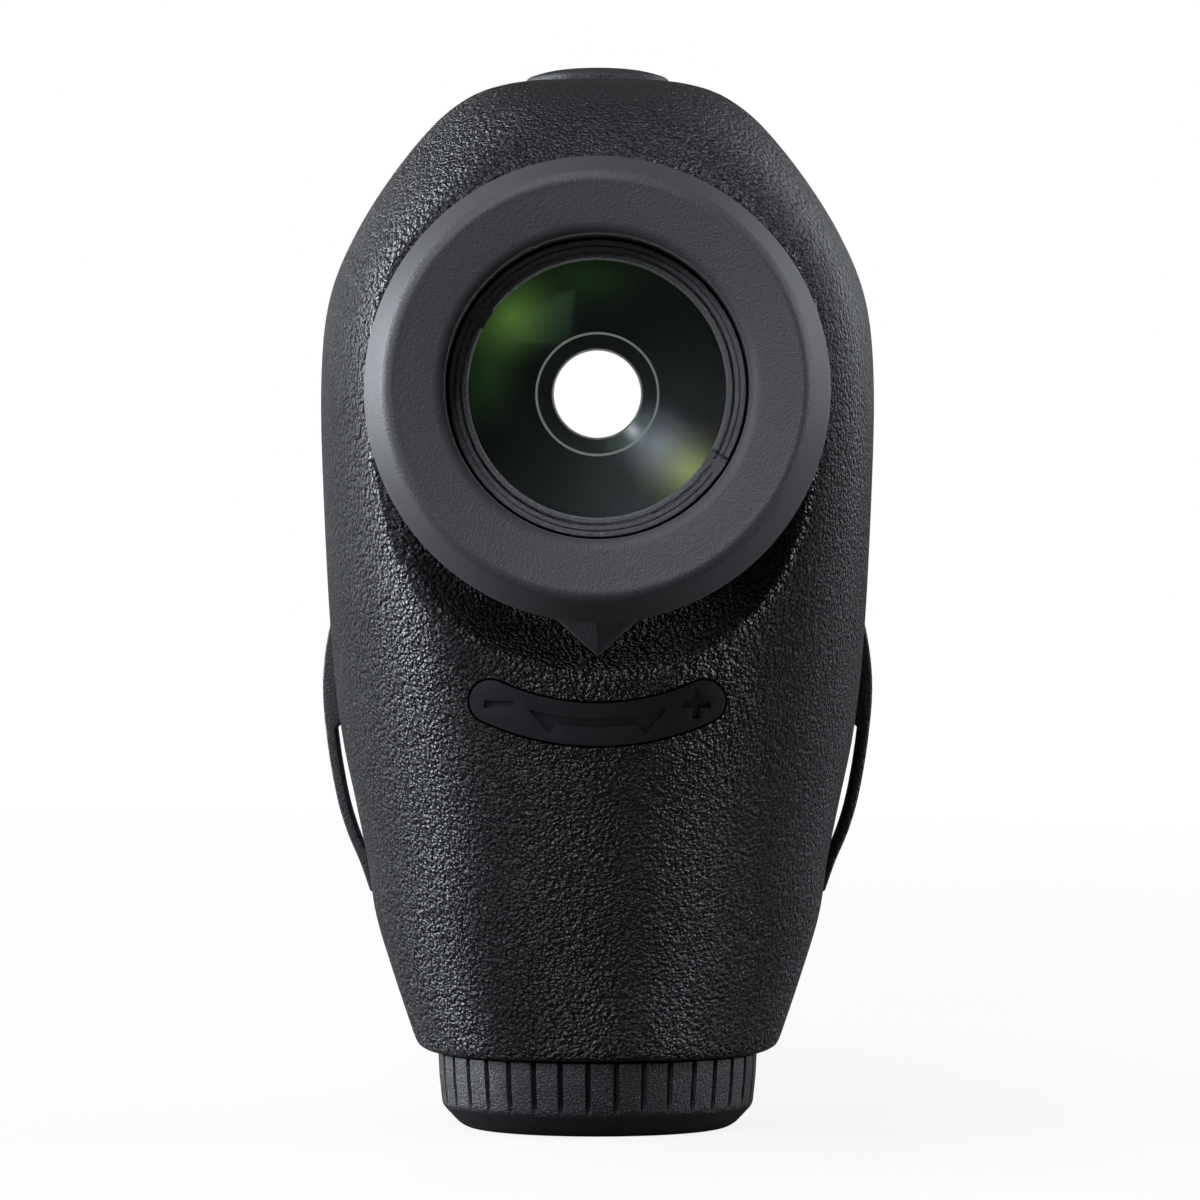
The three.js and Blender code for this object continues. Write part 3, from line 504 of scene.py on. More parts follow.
def painted_reflection_patch_group():
    """One soft oval patch of painted reflection, brightest at its centre."""
    if "Soft painted reflection patch" in bpy.data.node_groups:
        return bpy.data.node_groups["Soft painted reflection patch"]
    tree, start, end = group_with_sockets(
        "Soft painted reflection patch",
        [("Vector", "NodeSocketVector", None), ("Centre", "NodeSocketVector", (0, 0, 0)),
         ("Turn", "NodeSocketVector", (0, 0, 0)), ("Size", "NodeSocketVector", (1, 1, 1)),
         ("Colour", "NodeSocketColor", (1, 1, 1, 1)), ("Below", "NodeSocketColor", (0, 0, 0, 1))],
        [("Colour", "NodeSocketColor")])
    link = tree.links.new
    place = add_node(tree, "ShaderNodeMapping", vector_type="TEXTURE")
    link(start.outputs["Vector"], place.inputs["Vector"])
    link(start.outputs["Centre"], place.inputs["Location"])
    link(start.outputs["Turn"], place.inputs["Rotation"])
    link(start.outputs["Size"], place.inputs["Scale"])
    fall = add_node(tree, "ShaderNodeTexGradient", gradient_type="QUADRATIC_SPHERE")
    link(place.outputs["Vector"], fall.inputs["Vector"])
    mix = add_node(tree, "ShaderNodeMix", data_type="RGBA", blend_type="ADD")
    link(fall.outputs["Fac"], mix.inputs["Factor"])
    link(start.outputs["Below"], mix.inputs[MIX_COLOUR_A])
    link(start.outputs["Colour"], mix.inputs[MIX_COLOUR_B])
    link(mix.outputs[MIX_COLOUR_OUT], end.inputs["Colour"])
    return tree


# The painted reflections of the coatings are emission on the light trap. This is the plane along Y that they
# are centred on, in millimetres.
PAINTED_REFLECTION_DEPTH = -33.8

# Each patch of painted reflection of the lens coatings: across, up, its reach both ways, its turn in degrees
# and its colour.
PAINTED_REFLECTION_PATCHES = [
    (-3.8, 3.5, 3.0, 2.4, -40, (0.065, 0.14, 0.025)),
    (-4.9, 1.0, 2.2, 3.6, 10, (0.008, 0.024, 0.005)),
    (-0.5, 5.2, 4.5, 2.0, 0, (0.006, 0.018, 0.004)),
    (1.6, -1.65, 0.9, 0.6, 45, (0.4, 0.42, 0.48)),
    (2.7, -2.3, 2.7, 2.3, 42, (0.14, 0.155, 0.2)),
    (3.9, -3.4, 2.6, 2.5, 42, (0.15, 0.18, 0.06)),
    (4.6, -3.6, 1.8, 1.5, 60, (0.1, 0.13, 0.02)),
    (1.0, -5.0, 5.0, 2.2, 10, (0.003, 0.006, 0.007)),
]


def eyepiece_painted_shade_and_reflections():
    """A dark sheet of painted shade for the inside of the eyepiece. It carries painted green and amber
    reflections of the lens coatings and one pale painted highlight, all given as emission.
    """
    material, tree, shader, where = new_material("Eyepiece painted shade and reflections")
    shader.inputs["Base Color"].default_value = (0.004, 0.005, 0.005, 1)
    shader.inputs["Roughness"].default_value = 0.6
    # The painted reflections are emission, so they show without any light reaching them.
    shader.inputs["Emission Strength"].default_value = 1.0
    below = None
    for across, up, wide, tall, turn_deg, colour in PAINTED_REFLECTION_PATCHES:
        patch = add_node(tree, "ShaderNodeGroup", node_tree=painted_reflection_patch_group())
        tree.links.new(where, patch.inputs["Vector"])
        patch.inputs["Centre"].default_value = (across * MM, PAINTED_REFLECTION_DEPTH * MM, (EYE_Z + up) * MM)
        patch.inputs["Turn"].default_value = (0, math.radians(turn_deg), 0)
        patch.inputs["Size"].default_value = (wide * MM, 0.004, tall * MM)
        patch.inputs["Colour"].default_value = (*colour, 1)
        if below is None:
            patch.inputs["Below"].default_value = (0.0015, 0.0022, 0.002, 1)
        else:
            tree.links.new(below, patch.inputs["Below"])
        below = patch.outputs["Colour"]
    tree.links.new(below, shader.inputs["Emission Color"])
    return material


def glow_material(name, colour, strength):
    """A surface that shines evenly: painted light, for parts that glow though they are no lamps."""
    material, _, shader, _ = new_material(name)
    shader.inputs["Base Color"].default_value = (0.02, 0.02, 0.02, 1)
    shader.inputs["Emission Color"].default_value = (*colour, 1)
    shader.inputs["Emission Strength"].default_value = strength
    return material


MATERIALS = {}


def material_for(name):
    """Returns one of the object's finishes, made once."""
    if name not in MATERIALS:
        MATERIALS[name] = MAKERS[name]()
    return MATERIALS[name]


def armour():
    settings = bpy.context.scene.rangefinder_housing
    return grained_material("Armour grain", tuple(settings.armour_colour), 0.33, 3600.0, settings.grain_depth,
                            coarseness=1.0, bloom=0.01, specular=0.6,
                            depth_by_height=(44.0, 60.0, 1.0, 0.5))


def eyecup_rubber():
    settings = bpy.context.scene.rangefinder_eyepiece
    return grained_material("Eyecup rubber", tuple(settings.rubber_colour), 0.52, 5600.0, 0.00006,
                            coarseness=0.3, bloom=0.06)


def cap_black():
    settings = bpy.context.scene.rangefinder_cap
    return grained_material("Battery cap plastic", tuple(settings.plastic_colour), 0.34, 6800.0, 0.00006,
                            coarseness=0.8, bloom=0.02)


def ring_metal():
    return grained_material("Speckled black ring", (0.17, 0.17, 0.18), 0.28, 9000.0, 0.00008, coarseness=0.9,
                            bloom=0.1, specular=1.0)


def plate_black():
    return grained_material("Focus plate plastic", (0.02, 0.0205, 0.0235), 0.4, 6800.0, 0.00002,
                            coarseness=0.5, bloom=0.03)


def lug_black():
    return grained_material("Strap lug plastic", (0.026, 0.027, 0.031), 0.42, 6000.0, 0.00008,
                            coarseness=0.9, bloom=0.03)


def coated_glass():
    settings = bpy.context.scene.rangefinder_eyepiece
    return glass_material("Coated glass", (0.96, 0.975, 0.965), tuple(settings.coating_colour))


def gloss_black():
    return grained_material("Bezel gloss black", (0.012, 0.012, 0.014), 0.18, 3000.0, 0.000002, bloom=0.01)


def inner_plastic():
    return grained_material("Inner black plastic", (0.03, 0.031, 0.034), 0.65, 2600.0, 0.00002)


def circuit_green():
    return grained_material("Circuit board green", (0.012, 0.1, 0.045), 0.4, 1800.0, 0.00001)


def seal_rubber():
    return grained_material("Seal rubber", (0.015, 0.015, 0.015), 0.75, 3500.0, 0.00001)


MAKERS = {
    "armour": armour,
    "eyecup_rubber": eyecup_rubber,
    "cap_black": cap_black,
    "plate_black": plate_black,
    "lug_black": lug_black,
    "ring_metal": ring_metal,
    "gloss_black": gloss_black,
    "coated_glass": coated_glass,
    "clear_glass": lambda: glass_material("Clear glass", (0.97, 0.98, 0.98), (1.0, 1.0, 1.0)),
    "steel": lambda: metal_material("Bright steel", (0.62, 0.63, 0.65), 0.3),
    "black_metal": lambda: metal_material("Blackened metal", (0.03, 0.03, 0.034), 0.45, 0.6),
    "seal_rubber": seal_rubber,
    "inner_plastic": inner_plastic,
    "circuit_green": circuit_green,
    "battery_sleeve": lambda: metal_material("Battery sleeve", (0.35, 0.37, 0.4), 0.35, 0.7),
    "pupil_painted_glow": lambda: glow_material("Exit pupil painted glow", (1.0, 1.0, 0.98), 1.05),
    "stop_ring_painted_glint": lambda: glow_material("Stop ring painted glint", (0.85, 0.92, 0.9), 0.16),
    "eyepiece_painted_shade_and_reflections": eyepiece_painted_shade_and_reflections,
}


# --- Housing --------------------------------------------------------------------------------------

# How finely the skins, the plate's and the cavity's forms are divided, round and up.
SKIN_STEPS = (160, 108)
FORM_STEPS = (96, 72)
CAVITY_STEPS = (64, 48)
# Where the cavity ends behind and below, and the thickness of the front wall, in millimetres.
CAVITY_REAR = -21.6
CAVITY_FLOOR = 9.2
FRONT_WALL = 2.4
# Half sizes of the openings across and along, and the bore round the cap's neck, in millimetres.
POWER_OPENING = (5.0, 6.9)
MODE_OPENING = (3.9, 5.7)
NECK_BORE = 9.2
SHARP_CORNER = 60

# Height, half width, reach behind and reach ahead of the battery's axis, in millimetres.
HOUSING_ROWS = [
    (5.0, 11.0, 10.9, 12.2),
    (5.4, 11.8, 11.6, 13.4),
    (6.4, 12.2, 12.1, 15.6),
    (10.3, 13.5, 13.9, 27.0),
    (14.0, 14.6, 16.2, 42.0),
    (17.4, 15.1, 18.6, 56.0),
    (21.2, 15.85, 21.2, 63.0),
    (26.0, 16.8, 24.4, 65.4),
    (32.0, 17.4, 27.0, 66.0),
    (40.6, 17.75, 28.4, 66.0),
    (48.5, 17.85, 28.6, 66.0),
    (53.8, 17.3, 28.4, 66.0),
    (58.0, 15.65, 27.6, 66.0),
    (62.0, 13.3, 26.0, 65.4),
    (65.2, 10.9, 22.5, 63.6),
    (67.0, 8.9, 17.5, 61.0),
    (67.9, 7.1, 12.5, 58.2),
    (68.3, 5.2, 8.5, 56.0),
    (68.4, 2.4, 5.0, 53.0),
]


def along_rows(t):
    """The four measures at a fraction of the way up the rows, on a smooth line through them."""
    place = min(max(t, 0.0), 1.0) * (len(HOUSING_ROWS) - 1)
    i = min(int(place), len(HOUSING_ROWS) - 2)
    rows = [HOUSING_ROWS[min(max(i + k, 0), len(HOUSING_ROWS) - 1)] for k in (-1, 0, 1, 2)]
    return [curve(*measure, place - i) for measure in zip(*rows)]


def smoothstep(value, low, high):
    f = min(max((value - low) / (high - low), 0.0), 1.0)
    return f * f * (3 - 2 * f)


def housing_point(u, t, inset):
    """A point of the housing's form: u runs round it and t runs up it. The inset shrinks it on every side."""
    z, half, rear, ahead = along_rows(t)
    rear_power = 2 / (2.1 + 1.9 * smoothstep(z, 18, 56) - 1.2 * smoothstep(z, 56, 67))
    front_power = 2 / (2.2 + 2.4 * smoothstep(z, 8, 28))
    middle_z, reach_z = (BODY_BOTTOM + BODY_TOP) / 2, (BODY_TOP - BODY_BOTTOM) / 2
    height = middle_z + (z - middle_z) * (reach_z - inset) / reach_z
    angle = 2 * math.pi * u
    cosine, sine = math.cos(angle), math.sin(angle)
    power, reach = (rear_power, rear) if sine < 0 else (front_power, ahead)
    x = math.copysign(abs(cosine) ** power, cosine) * max(half - inset, 0.4)
    y = math.copysign(abs(sine) ** power, sine) * (reach - inset)
    return Vector((x, y, height)) * MM


def housing_form(name, inset, around, levels):
    """The closed form of the whole housing, as a loose object."""
    bm = bmesh.new()
    bmesh.ops.create_grid(bm, x_segments=around, y_segments=levels, size=0.5)
    for vert in bm.verts:
        vert.co = housing_point(vert.co.x + 0.5, vert.co.y + 0.5, inset)
    bmesh.ops.remove_doubles(bm, verts=bm.verts, dist=1e-6)
    bmesh.ops.holes_fill(bm, edges=[e for e in bm.edges if e.is_boundary])
    return loose_object(name, bm)


def trimmed(target, place, axis, keep_above):
    """Cuts a closed solid flat at a place along an axis and closes the cut."""
    bm = bmesh.new()
    bm.from_mesh(target.data)
    point, normal = [0, 0, 0], [0, 0, 0]
    point[axis], normal[axis] = place * MM, 1
    cut = bmesh.ops.bisect_plane(
        bm, geom=bm.verts[:] + bm.edges[:] + bm.faces[:], plane_co=point, plane_no=normal, dist=1e-7,
        clear_inner=keep_above, clear_outer=not keep_above)
    rim = [g for g in cut["geom_cut"] if isinstance(g, bmesh.types.BMEdge)]
    bmesh.ops.edgeloop_fill(bm, edges=rim)
    bmesh.ops.recalc_face_normals(bm, faces=bm.faces)
    bm.to_mesh(target.data)
    bm.free()
    return target


def round_tool(name, radius, start, end, centre, axis="Y", stretch=None):
    """A plain round cutter. A stretch widens it along one axis into an oval."""
    bm = bmesh.new()
    outline = [(0, start), (radius, start), (radius, end), (0, end)]
    turn(bm, outline, steps=64, axis=axis, centre=centre, close=False)
    if stretch:
        middle_point = Vector(centre) * MM
        for vert in bm.verts:
            vert.co = middle_point + Vector(a * s for a, s in zip(vert.co - middle_point, stretch))
    return loose_object(name, bm)


# The dish round the eyepiece: its floor, and the lean of that floor in degrees.
MOAT_FLOOR = -24.9
MOAT_TILT = 4.5
# The focus plate follows an arc. Its half width, its half angle in degrees and the gap round it.
PLATE_CENTRE_Z = 42.95
PLATE_RADIUS = 16.0
PLATE_HALF = 1.33
PLATE_ANGLE = 24.4
PLATE_GAP = 0.14
# How deep the plate's face, its marks, its back and the floor of its recess lie below the skin.
PLATE_FACE = 0.03
MARK_FLOOR = 0.27
PLATE_BACK = 0.8
RECESS_FLOOR = 1.0
# Where the plate's cutters start and end along Y.
PLATE_CUT = (-32, -12)
# Half sizes of the marks and of their strokes, and half the arrow's angle in degrees.
MARK_HALF = 0.9
STROKE_HALF = 0.22
ARROW_ANGLE = 16.0


def plate_outline(margin):
    """The curved plate's outline in X and Z, grown by a margin."""
    reach = PLATE_HALF + margin
    across = PLATE_RADIUS * math.sin(math.radians(PLATE_ANGLE))
    down = PLATE_CENTRE_Z - PLATE_RADIUS * math.cos(math.radians(PLATE_ANGLE))
    lower = arc(0, PLATE_CENTRE_Z, PLATE_RADIUS + reach, -90 - PLATE_ANGLE, -90 + PLATE_ANGLE, 40)
    right = arc(across, down, reach, -90 + PLATE_ANGLE, 90 + PLATE_ANGLE, 16)
    upper = arc(0, PLATE_CENTRE_Z, PLATE_RADIUS - reach, -90 + PLATE_ANGLE, -90 - PLATE_ANGLE, 40)
    left = arc(-across, down, reach, 90 - PLATE_ANGLE, 270 - PLATE_ANGLE, 16)
    return lower + right[1:] + upper[1:] + left[1:-1]


def plate_skin(name, margin, outer_inset, inner_inset):
    """The part of the housing's skin that lies behind the plate's outline, between two depths."""
    bm = bmesh.new()
    slab(bm, plate_outline(margin), *PLATE_CUT)
    skin = loose_object(name, bm)
    steps = [("DIFFERENCE", housing_form("skin core", inner_inset, *FORM_STEPS))]
    if outer_inset is not None:
        steps.insert(0, ("INTERSECT", housing_form("skin face", outer_inset, *FORM_STEPS)))
    cut_and_join(skin, steps)
    return skin


# Outlines across and up, in millimetres: the right strap lug's outside, its two feet, the heights that its
# arch is free between, and the hollow behind it.
LUG_OUTER = [(15.0, 15.4), (15.7, 17.4), (16.55, 19.4), (17.25, 21.8), (17.85, 25.3), (18.15, 28.7),
             (17.95, 31.5), (17.45, 34.0)]
LUG_TOP_FOOT = [(16.2, 34.0), (16.2, 27.4)]
LUG_LOW_FOOT = [(14.0, 17.4), (13.8, 15.4)]
LUG_ARCH = (18.0, 26.6)
LUG_THICKNESS = 0.65
HOLLOW_OUTER = [(20, 15.1), (20, 34.15), (16.08, 34.15), (16.08, 27.2)]
HOLLOW_FLOOR = [(14.3, 17.6), (15.0, 20.5), (15.6, 24.5), (15.9, 29.6)]
HOLLOW_FLOOR_TOP = 27
HOLLOW_FOOT = [(13.5, 17.6), (13.5, 15.1)]


def smooth_line(points, steps):
    """A smooth line through a few points."""
    line = []
    last = len(points) - 1
    for i in range(last):
        nearby = [Vector(points[min(max(i + k, 0), last)]) for k in (-1, 0, 1, 2)]
        line += [tuple(curve(*nearby, step / steps)) for step in range(steps)]
    line.append(tuple(points[-1]))
    return line


def hollow_tool(name, side):
    """The hollow in the housing's flank behind a strap lug. Side is 1 on the right and -1 on the left."""
    start, end = span("strap_lug_right", Y)
    floor = [p for p in smooth_line(HOLLOW_FLOOR, 5) if p[1] < HOLLOW_FLOOR_TOP]
    outline = HOLLOW_OUTER + floor[::-1] + HOLLOW_FOOT
    bm = bmesh.new()
    slab(bm, [(x * side, z) for x, z in outline], start - GAP, end + GAP)
    return loose_object(name, bm)


def bezel_outline(margin):
    reach = BEZEL_HALF + margin
    low, high = span("front_bezel", Z)
    return arc(0, low + BEZEL_HALF, reach, 180, 360, 32) + arc(0, high - BEZEL_HALF, reach, 0, 180, 32)


def inner_cavity():
    """The hollow inside both housings."""
    wall = bpy.context.scene.rangefinder_housing.wall / MM
    cavity = housing_form("cavity", wall, *CAVITY_STEPS)
    trimmed(cavity, CAVITY_REAR, Y, True)
    trimmed(cavity, FRONT_FACE - FRONT_WALL, Y, False)
    trimmed(cavity, CAVITY_FLOOR, Z, True)
    return cavity


def moat_tool():
    """The dish round the eyepiece. Its floor leans forward below, where the housing falls away."""
    bm = bmesh.new()
    outline = softened([
        (0, 0), (14.2, 0, 1.4), (16.0, -1.0, 1.4), (17.0, -3.6, 1.0), (18.2, -7), (0, -7)], 0.0, 6)
    turn(bm, outline, close=False)
    place = Matrix.Translation(Vector((0, MOAT_FLOOR, EYE_Z)) * MM)
    tilt = Matrix.Rotation(math.radians(MOAT_TILT), 4, "X")
    bmesh.ops.transform(bm, matrix=place @ tilt, verts=bm.verts)
    return loose_object("moat", bm)


def build_rear_housing():
    settings = bpy.context.scene.rangefinder_housing
    shell = trimmed(housing_form("rear_housing_skin", 0, *SKIN_STEPS), PARTING, Y, False)
    eye = (0, 0, EYE_Z)
    collar_radius = RING_RADIUS - 1.5
    collar = round_tool("collar", collar_radius, -35.9, -24.0, eye)
    bore = round_tool("collar bore", collar_radius - 0.9, -60, -20, eye)
    neck = round_tool("neck bore", NECK_BORE, 0, 14, (0, 0, 0), axis="Z")
    half, length = POWER_OPENING
    top = round_tool("button opening", half, 60, 80, (0, middle("power_button", Y), 0), axis="Z",
                     stretch=(1, length / half, 1))
    cut_and_join(shell, [
        ("DIFFERENCE", inner_cavity()),
        ("DIFFERENCE", moat_tool()),
        ("UNION", collar),
        ("DIFFERENCE", bore),
        ("DIFFERENCE", neck),
        ("DIFFERENCE", top),
        ("DIFFERENCE", hollow_tool("right hollow", 1)),
        ("DIFFERENCE", hollow_tool("left hollow", -1)),
    ])
    rebuilt_skin(shell, settings.rear_cell, 3)
    cut_and_join(shell, [("DIFFERENCE", plate_skin("plate recess", PLATE_GAP, None, RECESS_FLOOR))])
    finish_piece(shell, material_for("armour"), "housing", ["rear_housing"], SHARP_CORNER)


def build_front_housing():
    settings = bpy.context.scene.rangefinder_housing
    shell = housing_form("front_housing_skin", 0, *SKIN_STEPS)
    trimmed(shell, FRONT_START, Y, True)
    trimmed(shell, FRONT_FACE, Y, False)
    bm = bmesh.new()
    slab(bm, bezel_outline(0.25), BEZEL_BACK - GAP, 70)
    seat = loose_object("bezel seat", bm)
    objective = round_tool("objective opening", OBJECTIVE_RADIUS + 0.7, 50, 70, (0, 0, EYE_Z))
    receiver = round_tool("receiver opening", RECEIVER_RADIUS + 0.7, 50, 70, (0, 0, RECEIVER_Z))
    half, length = MODE_OPENING
    button_centre = (0, middle("mode_button", Y), middle("mode_button", Z))
    mode = round_tool("mode opening", half, -30, -12, button_centre, axis="X",
                      stretch=(1, length / half, 1))
    cut_and_join(shell, [
        ("DIFFERENCE", inner_cavity()),
        ("DIFFERENCE", seat),
        ("DIFFERENCE", objective),
        ("DIFFERENCE", receiver),
        ("DIFFERENCE", mode),
    ])
    rebuilt_skin(shell, settings.front_cell, 3)
    finish_piece(shell, material_for("armour"), "housing", ["front_housing"], SHARP_CORNER)


def build_strap_lugs():
    start, end = span("strap_lug_right", Y)
    outer = smooth_line(LUG_OUTER, 4)
    arch_low, arch_high = LUG_ARCH
    inner = [(x - LUG_THICKNESS, z) for x, z in reversed(outer) if arch_low < z < arch_high]
    outline = outer + LUG_TOP_FOOT + inner + LUG_LOW_FOOT
    for side, name in ((1, "right"), (-1, "left")):
        bm = bmesh.new()
        slab(bm, [(x * side, z) for x, z in outline], start, end)
        bmesh.ops.recalc_face_normals(bm, faces=bm.faces)
        rounded_edges(bm, 0.16, segments=3, angle_deg=50)
        lug = loose_object(f"strap_lug_{name}_arch", bm)
        finish_piece(lug, material_for("lug_black"), "housing", [f"strap_lug_{name}"])


def build_scale_plate():
    """The curved plate with its minus, double arrow and plus sunk into it."""
    plate = plate_skin("focus_scale_plate", 0.0, PLATE_FACE, PLATE_BACK)
    bm = bmesh.new()
    angle = math.radians(PLATE_ANGLE - 2)
    across = PLATE_RADIUS * math.sin(angle)
    level = PLATE_CENTRE_Z - PLATE_RADIUS * math.cos(angle) + 0.05
    near, far = PLATE_CUT
    box(bm, (-across - MARK_HALF, near, level - STROKE_HALF), (-across + MARK_HALF, far, level + STROKE_HALF))
    h, s = MARK_HALF, STROKE_HALF
    plus = [(-h, -s), (-s, -s), (-s, -h), (s, -h), (s, -s), (h, -s), (h, s), (s, s), (s, h), (-s, h),
            (-s, s), (-h, s)]
    slab(bm, [(x + across, z + level) for x, z in plus], *PLATE_CUT)
    inner, outer, short = PLATE_RADIUS - 0.35, PLATE_RADIUS + 0.15, ARROW_ANGLE * 0.55
    upper = arc(0, PLATE_CENTRE_Z, inner, -90 - ARROW_ANGLE, -90 + ARROW_ANGLE, 28)
    lower = arc(0, PLATE_CENTRE_Z, outer, -90 + short, -90 - short, 20)
    (right_x, right_z), (left_x, left_z) = lower[0], lower[-1]
    barb_right, barb_left = (right_x + 0.5, right_z - 0.62), (left_x - 0.5, left_z - 0.62)
    slab(bm, upper + [barb_right] + lower + [barb_left], *PLATE_CUT)
    bmesh.ops.recalc_face_normals(bm, faces=bm.faces)
    marks = loose_object("marks", bm)
    cut_and_join(marks, [("DIFFERENCE", housing_form("marks core", MARK_FLOOR, *FORM_STEPS))])
    cut_and_join(plate, [("DIFFERENCE", marks)])
    bm = bmesh.new()
    bm.from_mesh(plate.data)
    bmesh.ops.remove_doubles(bm, verts=bm.verts, dist=2e-6)
    rounded_edges(bm, 0.07, segments=2, angle_deg=45)
    bm.to_mesh(plate.data)
    bm.free()
    finish_piece(plate, material_for("plate_black"), "housing", ["diopter_scale_plate"], 25)


# --- Eyepiece -------------------------------------------------------------------------------------

EYE_CENTRE = (0, 0, EYE_Z)
# The spanner notches: half their width, where they start and end from the axis, their depth, and the turn
# in degrees that they stand at.
NOTCH_HALF = 0.6
NOTCH_REACH = (7.0, 9.2)
NOTCH_DEPTH = 0.6
NOTCH_TURN = -58
# The cell's nose, its step, and the seat that the eye lens rests in.
NOSE_RADIUS = 8.75
NOSE_START = -39.9
CELL_BORE = 7.3
SEAT_RADIUS = 8.1
SEAT_START = -35.4
# Places along Y of what shows through the lenses.
PUPIL_PLACES = (-33.2, -33.1)
TRAP_START, TRAP_FACE, TRAP_RIM = -33.05, -33.25, -34.2
TRAP_RADIUS = 7.2
GLINT_PLACES = (-33.34, -33.28)


def build_eyecup():
    back = RING_END - GAP
    skirt = RING_RADIUS + GAP
    outline = softened([
        (8.9, back, 0.05),
        (8.9, -47.1, 0.3),
        (9.3, -47.6, 0.4),
        (11.6, EYECUP_END + 0.1, 0.6),
        (12.15, EYECUP_END, 0.3),
        (12.6, EYECUP_END + 0.45, 0.35),
        (13.5, -43.7, 0.9),
        (EYECUP_RADIUS, -42.2, 0.8),
        (EYECUP_RADIUS, EYECUP_START, 0.35),
        (skirt, EYECUP_START, 0.1),
        (skirt, back, 0.05),
    ], 0.2, 5)
    cup = turned("eyecup_rubber", outline, EYE_CENTRE, 144)
    finish_piece(cup, material_for("eyecup_rubber"), "focus_ring", ["eyecup"], 50)


def build_focus_ring():
    """The turning ring below the eyecup, with a ridged pointer that runs out to a point."""
    inner = RING_RADIUS - 1.2
    outline = softened([
        (inner, RING_START, 0.2), (RING_RADIUS, RING_START, 0.4), (RING_RADIUS, RING_END, 0.15),
        (inner, RING_END, 0.15)], 0.2, 4)
    ring = turned("focus_ring_band", outline, EYE_CENTRE, 144)
    bm = bmesh.new()
    root = RING_RADIUS - 0.6
    corners = [
        (-3.9, -30.1, root), (3.9, -30.1, root), (0, -30.1, POINTER_TIP),
        (-3.7, -32.2, root), (3.7, -32.2, root), (0, -32.9, root), (0, -31.6, POINTER_TIP - 0.05),
    ]
    verts = [bm.verts.new(Vector((x, y, EYE_Z - r)) * MM) for x, y, r in corners]
    bmesh.ops.convex_hull(bm, input=verts)
    bmesh.ops.recalc_face_normals(bm, faces=bm.faces)
    rounded_edges(bm, 0.12, segments=2, angle_deg=15)
    pointer = loose_object("pointer", bm)
    cut_and_join(ring, [("UNION", pointer)])
    finish_piece(ring, material_for("eyecup_rubber"), "focus_ring", ["diopter_ring"], 30)


def notch_tool(face):
    """Two opposite boxes that cut the spanner notches into a ring whose end face is at a given place."""
    bm = bmesh.new()
    start, end = NOTCH_REACH
    box(bm, (-NOTCH_HALF, face - 1, start), (NOTCH_HALF, face + NOTCH_DEPTH, end))
    bmesh.ops.transform(bm, matrix=Matrix.Rotation(math.radians(NOTCH_TURN), 4, "Y"), verts=bm.verts)
    twin = bmesh.ops.duplicate(bm, geom=bm.verts[:] + bm.edges[:] + bm.faces[:])
    twin_verts = [g for g in twin["geom"] if isinstance(g, bmesh.types.BMVert)]
    bmesh.ops.transform(bm, matrix=Matrix.Rotation(math.pi, 4, "Y"), verts=twin_verts)
    bmesh.ops.translate(bm, verts=bm.verts, vec=Vector((0, 0, EYE_Z)) * MM)
    return loose_object("notches", bm)


def build_eyepiece_cell():
    """The cell with its thin rim, and the threaded retaining ring with two spanner notches."""
    outline = softened([
        (NOSE_RADIUS, CELL_END, 0.12), (NOSE_RADIUS, NOSE_START, 0.05),
        (CELL_RADIUS, NOSE_START, 0.2), (CELL_RADIUS, CELL_START, 0.2),
        (CELL_BORE, CELL_START, 0.1), (CELL_BORE, SEAT_START, 0.1),
        (SEAT_RADIUS, SEAT_START, 0.05), (SEAT_RADIUS, CELL_END, 0.1),
        (8.36, CELL_END, 0.06), (8.4, CELL_END + 0.2, 0.05), (8.44, CELL_END, 0.06)], 0.1, 3)
    cell = turned("eyepiece_cell_turned", outline, EYE_CENTRE, 128)
    cut_and_join(cell, [("DIFFERENCE", notch_tool(CELL_END))])
    finish_piece(cell, material_for("ring_metal"), "eyepiece", ["eyepiece_cell"], 40)

    low, high = span("eyepiece_retaining_ring", Y)
    outline = softened([
        (7.6, low + 0.35, 0.1), (7.74, low, 0.12), (7.96, low, 0.12), (7.96, high, 0.05),
        (7.6, high, 0.05)], 0.1, 3)
    ring = turned("eyepiece_retaining_ring_turned", outline, EYE_CENTRE, 128)
    cut_and_join(ring, [("DIFFERENCE", notch_tool(low))])
    finish_piece(ring, material_for("ring_metal"), "eyepiece", ["eyepiece_retaining_ring"], 30)


def lens_outline(radius, rear, rear_bulge, ahead, front_bulge, steps=14):
    points = [(radius * i / steps, rear + rear_bulge * (i / steps) ** 2) for i in range(steps + 1)]
    points += [(radius * i / steps, ahead - front_bulge * (i / steps) ** 2) for i in range(steps, -1, -1)]
    return points


def build_lens(name, node, body, rear_bulge, front_bulge, centre_z, glass="coated_glass"):
    """A lens ground to its node's size. The glass is its material."""
    rear, ahead = span(node, Y)
    outline = lens_outline(span(node, X)[1], rear, rear_bulge, ahead, front_bulge)
    lens = turned(name, outline, (0, 0, centre_z), close=False)
    finish_piece(lens, material_for(glass), body, [node], 50)


